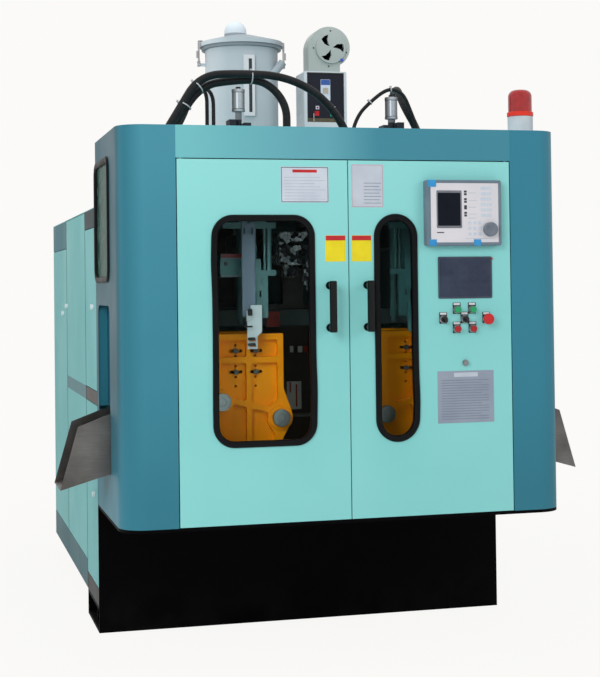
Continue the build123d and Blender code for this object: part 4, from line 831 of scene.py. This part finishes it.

# The discharge chutes: folded stainless sheet, one at each side of the enclosure, in a darker grey
# steel tone.

# Brushed metal: a value that changes in fine lines drawn out one way.
brushed, given, out = effect("brushed_metal", [
    ("Place", "Vector", None), ("Stretch", "Vector", (1, 1, 60))], [("Value", "Float")])
pulled = put(brushed, "VectorMath", {"Vector": given["Place"], "Vector_001": given["Stretch"]},
             operation="MULTIPLY").outputs["Vector"]
line = clouds(brushed, pulled, 12.0, 4.0)
brushed.links.new(between(brushed, line, 0.3, 0.7), out["Value"])


def metal(name, colour, shade, roughness, stretch, relief=0.00004, dust=0.1, **plain):
    """Bare metal: brushed or turned lines along one direction change its colour and gloss a little."""
    material, tree, shader = finish_of(name, Metallic=1.0, **plain)
    place = object_place(tree)
    line = used(tree, brushed, {"Place": place, "Stretch": stretch})["Value"]
    tone = used(tree, uneven, {"Place": place, "Size": 0.15, "First": srgb(*colour), "Second": srgb(*shade)})
    coat = mixed(tree, times(tree, line, 0.35), tone["Colour"], srgb(*shade))
    lying = used(tree, settled, {"Place": place, "Amount": dust})["Mask"]
    coat = mixed(tree, lying, coat, srgb(120, 116, 108))
    coated(tree, shader, coat, between(tree, line, 0.0, 1.0, roughness - 0.06, roughness + 0.1))
    bumped(tree, shader, line, relief)
    return material


stainless = metal("chute_stainless", (140, 139, 137), (104, 102, 100), 0.38, (1.0, 9.0, 30.0), dust=0.15)
dressed(stainless, "chute_left", "chute_right")

# The clamping stations: platens cast in iron and sprayed orange, with bare ground tie bars whose end
# caps have turned rings. Each station stands on an orange carriage.
bolt_spots = [(side * x, z) for side in (-1, 1) for x in (0.383, 0.305) for z in (1.148, 1.067)]
bolts = [((x - 0.028, 0.2572, z - 0.0065), (x + 0.028, 0.296, z + 0.0065), (16, 14, 14))
         for x, z in bolt_spots]
bolts += [((x - 0.0102, 0.238, z - 0.0102), (x + 0.0102, 0.2568, z + 0.0102), (96, 98, 98))
          for x, z in bolt_spots]
orange = painted("platen_orange_paint", (255, 152, 4), (250, 138, 2), 0.36, 0.25, 0.001, wear=0.5,
                 bare=(150, 100, 50), dust=0.05, dusty=(150, 110, 40), patches=bolts,
                 Specular_IOR_Level=0.15)
dressed(orange, "clamp_platen_left", "clamp_platen_right", "clamp_carriage_left", "clamp_carriage_right")
bar_steel = metal("tie_bar_steel", (150, 152, 156), (118, 120, 124), 0.3, (6.0, 1.0, 6.0))
dressed(bar_steel, "tie_bars_left", "tie_bars_right")
cap_line = [(0.0, 0.013), (0.0012, 0.014), (0.0012, 0.017), (0.0, 0.018), (0.0, 0.0285),
            (0.0016, 0.0295), (0.0016, 0.0332), (0.0002, 0.034)]
ring_steel = metal("cap_ring_steel", (176, 178, 180), (130, 132, 136), 0.32, (1.0, 1.0, 1.0))
for name, side in (("left", -1), ("right", 1)):
    solid_of("tie_bar_cap_rings_" + name, [turned(cap_line, (0, -1, 0), (side * x, back(0.211), z), 40)
                                           for x, z in ((0.213, 0.889), (0.444, 0.956))],
             ring_steel, "platen_" + name)

# The blow-pin units: the left slide has a ground steel plate, the frames and the right slide are
# painted in a dark teal.
slide_steel = painted("slide_left_finish", (84, 118, 120), (72, 104, 108), 0.4, 0.08, patches=[
    ((-0.3665, 0.1946, 1.28), (-0.3145, 0.209, 1.64), (108, 120, 138)),
    ((-0.37, 0.17, 1.15), (-0.29, 0.1949, 1.326), (206, 210, 216))])
frame_teal = painted("blow_frame_teal_paint", (86, 132, 134), (70, 116, 120), 0.4, 0.12, wear=0.5,
                     patches=[((None, None, 1.9872), (None, None, 2.06), (34, 40, 48)),
                              ((None, None, 2.06), (None, None, 2.093), (120, 124, 128)),
                              ((None, None, 2.1625), (None, None, 2.21), (20, 20, 23))])
dressed(slide_steel, "blow_slide_left")
dressed(frame_teal, "blow_slide_right", "blow_frame_left", "blow_frame_right")
# Air cylinders: a painted highlight as a bright stripe left of the middle, painted shade to both sides.
for name, across, low in (("air_cylinder_left", -0.32, 2.093), ("air_cylinder_right", 0.32, 2.074)):
    high = low + 0.088
    solid_of(name, [turned([
        (low - 0.001, 0.015), (low - 0.0005, 0.0262), (low + 0.009, 0.0264), (low + 0.01, 0.0253),
        (high - 0.013, 0.0253), (high - 0.012, 0.0264), (high - 0.0015, 0.0264), (high + 0.0006, 0.0255),
        (high + 0.0008, 0.01)], (0, 0, 1), (across, back(0.442), 0.0), 48)],
        painted(name + "_steel", (190, 194, 198), (176, 180, 186), 0.25, 0.02, fades=[
            ("X", across - 0.008, across - 0.025, (46, 50, 54)),
            ("X", across + 0.004, across + 0.024, (52, 56, 60))], patches=[
            ((None, None, low + 0.0085), (None, None, low + 0.0105), (24, 26, 28)),
            ((None, None, high - 0.0135), (None, None, high - 0.0115), (24, 26, 28)),
            ((across - 0.0125, None, low + 0.0106), (across - 0.0075, None, high - 0.0136),
             (238, 242, 246))]),
        "machine")
bolt_heads = [plate(-0.353, -0.322, z - 0.006, z + 0.006, 0.0058, 0.1688, 0.1702, 0.0004)
              for z in (1.196, 1.175)]
solid_of("blow_slide_clamp_bolts", bolt_heads,
         plain_finish("clamp_bolt_black", (18, 18, 20), (30, 30, 33), 0.4, 0.01), "blow_slide_left")
solid_of("blow_slide_catch", [plate(-0.352, -0.335, 1.284, 1.31, 0.004, 0.162, 0.1702, 0.0015),
                              plate(-0.366, -0.334, 1.24, 1.2465, 0.002, 0.164, 0.1702, 0.001)],
         plain_finish("catch_black", (14, 14, 16), (24, 24, 27), 0.35, 0.01), "blow_slide_left")

# The valve box beside the left blow pin: a small grey sheet case with a red head, two plain marks and
# a dark knob, fixed beside the frame.
for name, parts, finish, slot in (
    ("valve_box_panel", [plate(-0.433, -0.353, 1.433, 1.506, 0.001, 0.2662, 0.2678, 0.0003)],
     plain_finish("valve_box_grey", (122, 134, 148), (104, 116, 130), 0.4, 0.02), "control_grey"),
    ("valve_box_head", [plate(-0.433, -0.353, 1.507, 1.521, 0.001, 0.2662, 0.2678, 0.0003)],
     plain_finish("valve_box_red", (140, 22, 28), (116, 14, 20), 0.4, 0.02), "button_red"),
    ("valve_box_marks", [plate(x, x + 0.009, 1.448, 1.468, 0.0008, 0.2656, 0.2661, 0.0001)
                         for x in (-0.404, -0.388)], plate_white, "box_white"),
    ("valve_box_knob", [turned([(0.0, 0.008), (0.006, 0.0076), (0.007, 0.0065)], (0, -1, 0),
                               (-0.416, back(0.2662), 1.484), 24)],
     plain_finish("valve_knob_dark", (26, 28, 32), (36, 38, 42), 0.35, 0.01), "black_plastic"),
):
    solid_of(name, parts, finish, "machine")

# The extruder and its die head: steel, dark with heat, with a screw in the barrel. The head is wrapped
# in crumpled foil, whose bright and dark facets are painted reflections, and the cabinet's cross beams
# have a dull teal coat.
hot_steel = metal("extruder_dark_steel", (96, 94, 92), (62, 60, 60), 0.45, (2.0, 8.0, 2.0), dust=0.3)
dressed(hot_steel, "extruder_unit", "extruder_screw")
foil, tree, shader = finish_of("die_head_foil", Roughness=0.3, Specular_IOR_Level=0.6)
place = object_place(tree)
# Painted reflections: cells of the crumpled foil turn bright or dark by a cell pattern.
crease = put(tree, "TexVoronoi", {"Vector": place, "Scale": 66.0}, feature="F1")
painted_foil_glint = put(tree, "SeparateColor", {"Color": crease.outputs["Color"]}).outputs[0]
painted_foil_glint = between(tree, painted_foil_glint, 0.62, 0.99)
tree.links.new(mixed(tree, painted_foil_glint, srgb(34, 36, 40), srgb(224, 228, 236)), shader.inputs["Base Color"])
bumped(tree, shader, crease.outputs["Distance"], 0.02)
dressed(foil, "die_head")
beam_teal = painted("cabinet_beam_paint", (70, 88, 88), (58, 76, 78), 0.5, 0.3, wear=0.3)
dressed(beam_teal, "cabinet_beams")

# The service panel behind the clamps: black sheet hung under the cabinet's beams, with a strip of fields,
# a document pocket and a pale rail. A red block sits on the cross beam, and a teal bracket hangs from the
# back wall.
sheet_white = plain_finish("pocket_white", (236, 238, 242), (226, 229, 234), 0.4, 0.05)
deep_red = plain_finish("terminal_red", (190, 40, 28), (150, 28, 22), 0.45, 0.03)
for name, parts, finish, slot in (
    ("service_panel", [plate(-0.14, 0.138, 0.72, 1.2312, 0.003, 1.045, 1.049, 0.0005)],
     plain_finish("service_panel_black", (14, 14, 17), (22, 23, 27), 0.5, 0.2), "base_black"),
    ("beam_block", [plate(-0.152, -0.096, 1.226, 1.29, 0.003, 0.701, 0.7188, 0.001)], deep_red,
     "button_red"),
    ("service_panel_fields", [plate(0.032, 0.048, 1.102, 1.13, 0.001, 1.0442, 1.0451, 0.0002),
                              plate(0.068, 0.089, 1.101, 1.129, 0.001, 1.0442, 1.0451, 0.0002),
                              plate(0.016, 0.082, 0.85, 0.973, 0.001, 1.0438, 1.0451, 0.0003)],
     sheet_white, "box_white"),
    ("service_panel_lines", [plate(0.092, 0.112, 1.101, 1.129, 0.001, 1.0442, 1.0451, 0.0002),
                             plate(0.056, 0.063, 0.861, 0.96, 0.001, 1.0434, 1.0439, 0.0001),
                             plate(0.028, 0.035, 0.925, 0.97, 0.001, 1.0434, 1.0439, 0.0001)],
     deep_red, "button_red"),
    ("service_panel_rail", [plate(0.0, 0.13, 0.817, 0.831, 0.002, 1.04, 1.0451, 0.001)],
     plain_finish("rail_grey", (132, 140, 148), (108, 116, 124), 0.4, 0.05), "control_grey"),
    ("back_wall_bracket", [plate(-0.02, 0.04, 1.545, 1.76, 0.003, 0.706, 0.7164, 0.001)], beam_teal,
     "frame_teal"),
    ("back_wall_bracket_lamp", [plate(0.012, 0.026, 1.59, 1.626, 0.002, 0.704, 0.7062, 0.0004)],
     plain_finish("bracket_lamp_white", (232, 236, 240), (220, 226, 232), 0.3, 0.02), "box_white"),
):
    solid_of(name, parts, finish, "machine")

# The rear cabinet: mint side doors and fixed pans, duller than the front doors, between dark strips
# at the foot, over the doors and across the front column. Black rubber seals fill the joints, and the
# hydraulic unit inside is sprayed grey.
knob_heads = [((side - 0.01, None, None), (side + 0.01, None, None), (226, 232, 236))
              for side in (-0.8715, 0.8715)]
strips = [
    ((None, 0.7, 0.1), (None, 1.115, 0.1785), (66, 62, 62)),
    ((None, 1.1155, 0.1), (None, 2.64, 0.2275), (68, 104, 112)),
    ((None, 0.7, 0.9185), (None, 1.115, 0.9765), (92, 90, 90)),
    ((None, 0.7, 1.6465), (None, 1.115, 1.73), (44, 56, 64)),
    ((None, 1.932, 1.5905), (None, 2.64, 1.73), (62, 114, 124)),
]
door_strip = [((None, 1.11, 0.9185), (None, 1.933, 0.9765), (96, 132, 138))]
cabinet = painted("cabinet_mint_paint", (121, 188, 190), (115, 181, 182), 0.46, dust=0.1,
                  patches=strips + knob_heads, Specular_IOR_Level=0.15)
cabinet_door = painted("cabinet_door_paint", (121, 188, 190), (115, 181, 181), 0.46, dust=0.08,
                       patches=door_strip + knob_heads, Specular_IOR_Level=0.15)
dressed(cabinet, "cabinet_side_left", "cabinet_side_right")
dressed(cabinet_door, "cabinet_shell", "side_door_middle_left", "side_door_middle_right",
        "side_door_rear_left", "side_door_rear_right")
for side, facing in (("left", facing_left), ("right", facing_right)):
    for name, u0, u1, v0, v1, w0, w1, body in (
        ("column_seal_", 1.1085, 1.1133, 0.107, 1.7245, -0.0008, 0.0, "machine"),
        ("door_seal_", 1.9255, 1.9305, 0.231, 1.7215, -0.0008, 0.0, "side_door_middle_"),
        ("joint_seal_", 0.71, 0.718, 0.53, 1.72, 0.0015, 0.006, "machine"),
    ):
        solid_of(name + side, [plate(u0, u1, v0, v1, 0.001, w0, w1, 0.0002, facing)], gasket,
                 body if body == "machine" else body + side)
dressed(painted("hydraulic_grey_paint", (96, 108, 112), (82, 94, 100), 0.45), "hydraulic_unit")

# The hopper dryer: a sprayed grey shell and lid, with a paler moulded cap, bright clamps and a sight
# frame of plain sheet.
# Painted light on the dryer: left side lighter, right side darker, painted shade on the lid and under its
# rim.
dryer = painted("dryer_grey_paint", (186, 199, 207), (179, 192, 200), 0.42, 0.4, 0.0004, wear=0.15,
                fades=[("X", 0.1, 0.19, (152, 162, 169)), ("X", -0.1, -0.18, (206, 217, 224))],
                patches=[((None, None, 2.602), (None, None, 2.66), (150, 162, 170)),
                         ((None, None, 2.565), (None, None, 2.5805), (140, 152, 160)),
                         ((None, 1.7, 2.648), (None, 1.96, 2.8), (214, 227, 236)),
                         ((-0.0295, 1.63, 2.22), (0.0255, 1.6545, 2.52), (216, 222, 228)),
                         ((-0.0062, 1.6385, 2.23), (0.0102, 1.662, 2.51), (58, 62, 66)),
                         ((0.024, 1.63, 2.22), (0.026, 1.656, 2.52), (84, 88, 92))])
dressed(dryer, "hopper_dryer")
dressed(chrome, "lid_clamp_left", "lid_clamp_right")

# The dryer's control box: a pale sheet case with a dark blue panel in a brown frame. The panel has a
# plain label, a counter, two lamps, two rocker switches and a fuse post.
case_pale = painted("dryer_case_paint", (212, 221, 228), (202, 212, 220), 0.4, 0.3, 0.0003, wear=0.2,
                    patches=[((0.304, 1.704, 2.223), (0.488, 1.708, 2.447), (27, 29, 42))])
dressed(case_pale, "dryer_control_box")
panel_white = plain_finish("dryer_label_white", (214, 224, 240), (200, 212, 232), 0.4, 0.02)
panel_blue = plain_finish("dryer_label_blue", (58, 96, 170), (46, 82, 156), 0.4, 0.02)
panel_beige = plain_finish("dryer_counter_beige", (196, 188, 170), (176, 168, 150), 0.4, 0.02)
lamp_red = plain_finish("dryer_lamp_red", (206, 40, 60), (186, 28, 46), 0.3, 0.01)
lamp_green = plain_finish("dryer_lamp_green", (30, 160, 120), (20, 140, 104), 0.3, 0.01)
for name, parts, finish, slot in (
    ("dryer_label", [plate(0.372, 0.421, 2.3115, 2.4165, 0.002, 1.7048, 1.706)], panel_white, "box_white"),
    ("dryer_label_head", [plate(0.3735, 0.4195, 2.389, 2.415, 0.001, 1.7045, 1.7047, 0.0001)], panel_blue,
     "control_grey"),
    ("dryer_counter", [plate(0.3835, 0.41, 2.3453, 2.3747, 0.001, 1.703, 1.7047, 0.0003)], panel_beige,
     "control_grey"),
    ("dryer_lamp_frames", [plate(x - 0.0085, x + 0.0085, 2.2675, 2.2845, 0.001, 1.7035, 1.706)
                           for x in (0.354, 0.437)], panel_white, "box_white"),
    ("dryer_lamp_red", [plate(0.3495, 0.3585, 2.2715, 2.2805, 0.001, 1.702, 1.7034, 0.0003)], lamp_red,
     "button_red"),
    ("dryer_lamp_green", [plate(0.4325, 0.4415, 2.2715, 2.2805, 0.001, 1.702, 1.7034, 0.0003)], lamp_green,
     "button_green"),
    ("dryer_fuse_post", [turned([(2.206, 0.0032), (2.244, 0.0032), (2.247, 0.0022)], (0, 0, 1),
                                (0.3335, back(1.7005), 0.0), 20)], chrome, "chrome_steel"),
):
    solid_of(name, parts, finish, "machine")
solid_of("dryer_panel_frame", [stacked([
    (0.3015, 0.4905, 2.2045, 2.4495, 0.002, 1.7058), (0.3015, 0.4905, 2.2045, 2.4495, 0.002, 1.703),
    (0.3045, 0.4875, 2.2235, 2.4465, 0.002, 1.703), (0.3045, 0.4875, 2.2235, 2.4465, 0.002, 1.7058)],
    loop=True)], plain_finish("dryer_panel_frame_brown", (96, 88, 66), (80, 74, 56), 0.45, 0.03),
    "machine")
dressed(plain_finish("rocker_red", (214, 44, 52), (196, 30, 40), 0.3, 0.01), "rocker_red")
dressed(plain_finish("rocker_green", (16, 150, 130), (8, 128, 110), 0.3, 0.01), "rocker_green")

# The blower on the control box: a cast snail housing, sprayed grey, with a dark wheel inside. Four
# steel screws hold its front plate.
blower = painted("blower_grey_paint", (180, 191, 189), (172, 183, 181), 0.45, 0.2, 0.0008, wear=0.3,
                 patches=[((0.466, 1.683, 2.501), (0.488, 1.6893, 2.523), (70, 92, 190))])
dressed(blower, "blower_housing")
dressed(plain_finish("impeller_dark", (10, 10, 12), (18, 18, 20), 0.6, 0.03, Specular_IOR_Level=0.1),
        "blower_impeller")

solid_of("blower_screws", [turned([(0.0, 0.0042), (0.0016, 0.004), (0.0022, 0.003)], (0, -1, 0),
                                  (0.424 + x, back(1.7), 2.572 + z), 16)
                           for x, z in ((-0.088, -0.001), (0.081, -0.019), (0.0, 0.086), (-0.011, -0.09))],
         plain_finish("blower_screw_steel", (84, 86, 88), (60, 62, 64), 0.35, 0.01), "machine")

# The signal beacon: a glossy red moulded dome over a bright red ring, on a pale foot that stands on
# the roof of the enclosure.
beacon_foot = plain_finish("beacon_foot_pale", (206, 216, 222), (194, 205, 212), 0.35, 0.03)
beacon_red = plain_finish("beacon_dome_red", (176, 14, 22), (150, 6, 14), 0.1, 0.02, Coat_Weight=0.7)
beacon_ring = plain_finish("beacon_ring_red", (236, 52, 30), (226, 40, 22), 0.25, 0.02)
at_beacon = (0.75, back(0.12), 0.0)
foot = solid_of("beacon_foot", [turned([
    (1.987, 0.0585), (1.9925, 0.0585), (1.9935, 0.052), (2.0, 0.0498), (2.0525, 0.0498), (2.053, 0.046)],
    (0, 0, 1), at_beacon, 64)], beacon_foot, "machine")
band = solid_of("beacon_band", [turned([
    (2.053, 0.05), (2.0545, 0.0518), (2.0695, 0.0518), (2.071, 0.05)], (0, 0, 1), at_beacon, 64)],
    beacon_ring, "machine")
rise = np.linspace(0, np.pi / 2, 12)
dome_line = [(2.071, 0.0468), (2.133, 0.0465)] + [
    (2.133 + 0.026 * math.sin(a), 0.0205 + 0.026 * math.cos(a)) for a in rise] + [(2.159, 0.0002)]
dome = solid_of("beacon_dome", [turned(dome_line, (0, 0, 1), at_beacon, 64)], beacon_red, "machine")
for piece in (foot, band, dome):
    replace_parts(piece, "beacon")

# The studio: a plain pale floor and wide soft lamps before, above and beside the machine. The floor
# and the world show as a near-white background, and the floor keeps the soft shadow.
floor_line = bpy.data.meshes.new("floor")
floor_line.from_pydata([(-30, -30, -0.0005), (30, -30, -0.0005), (30, 30, -0.0005), (-30, 30, -0.0005)], [],
                       [(0, 1, 2, 3)])
floor = bpy.data.objects.new("floor", floor_line)
bpy.context.scene.collection.objects.link(floor)
material, tree, shader = finish_of("floor_pale", Base_Color=(0.9, 0.895, 0.88, 1.0), Roughness=0.9,
                                   Specular_IOR_Level=0.0)
glow = put(tree, "Emission", {"Color": srgb(251, 250, 248), "Strength": 1.0}).outputs[0]
ray = put(tree, "LightPath").outputs
seen = sums(tree, "MAXIMUM", ray["Is Camera Ray"], ray["Is Transmission Ray"], True)
far = put(tree, "VectorMath", {"Vector": object_place(tree)}, operation="LENGTH")
share = between(tree, far.outputs["Value"], 1.0, 4.0, 0.955, 1.0)
surface_of(tree, times(tree, seen, share), shader.outputs[0], glow)
floor.data.materials.append(material)

world = bpy.data.worlds.new("studio")
bpy.context.scene.world = world
world.use_nodes = True
tree = world.node_tree
light_all_round = next(n for n in tree.nodes if n.type == "BACKGROUND")
light_all_round.inputs["Color"].default_value = srgb(251, 250, 248)
ray = put(tree, "LightPath").outputs
seen = sums(tree, "MAXIMUM", ray["Is Camera Ray"], ray["Is Transmission Ray"])
seen = sums(tree, "MAXIMUM", seen, times(tree, ray["Is Glossy Ray"], 0.5), True)
tree.links.new(between(tree, seen, 0.0, 1.0, 0.46, 1.0), light_all_round.inputs["Strength"])
for name, place, aim, wide, tall, power in (
    ("lamp_front_left", (-3.6, -5.6, 3.4), (0, -1.2, 1.1), 2.6, 2.6, 140.0),
    ("lamp_front_right", (3.8, -5.2, 3.0), (0, -1.2, 1.1), 2.2, 2.2, 46.0),
    ("lamp_top", (0.0, -0.6, 5.2), (0, -0.4, 1.0), 3.5, 4.0, 84.0),
    ("lamp_left_side", (-6.0, 0.6, 2.6), (0, 0.2, 1.0), 2.4, 2.4, 54.0),
):
    light = bpy.data.lights.new(name, "AREA")
    light.shape = "RECTANGLE"
    light.size, light.size_y = wide, tall
    light.energy = power
    lamp = bpy.data.objects.new(name, light)
    lamp.visible_glossy = False
    aimed = np.array(aim, float) - place
    aimed /= np.linalg.norm(aimed)
    side = np.cross(aimed, (0.0, 0.0, 1.0)) if abs(aimed[2]) < 0.99 else np.array([1.0, 0.0, 0.0])
    side /= np.linalg.norm(side)
    turned_to = np.eye(4)
    turned_to[:3, 0], turned_to[:3, 1], turned_to[:3, 2] = side, np.cross(side, aimed), -aimed
    turned_to[:3, 3] = place
    lamp.matrix_world = Matrix(turned_to.tolist())
    bpy.context.scene.collection.objects.link(lamp)

view = bpy.context.scene.view_settings
view.view_transform = "Standard"
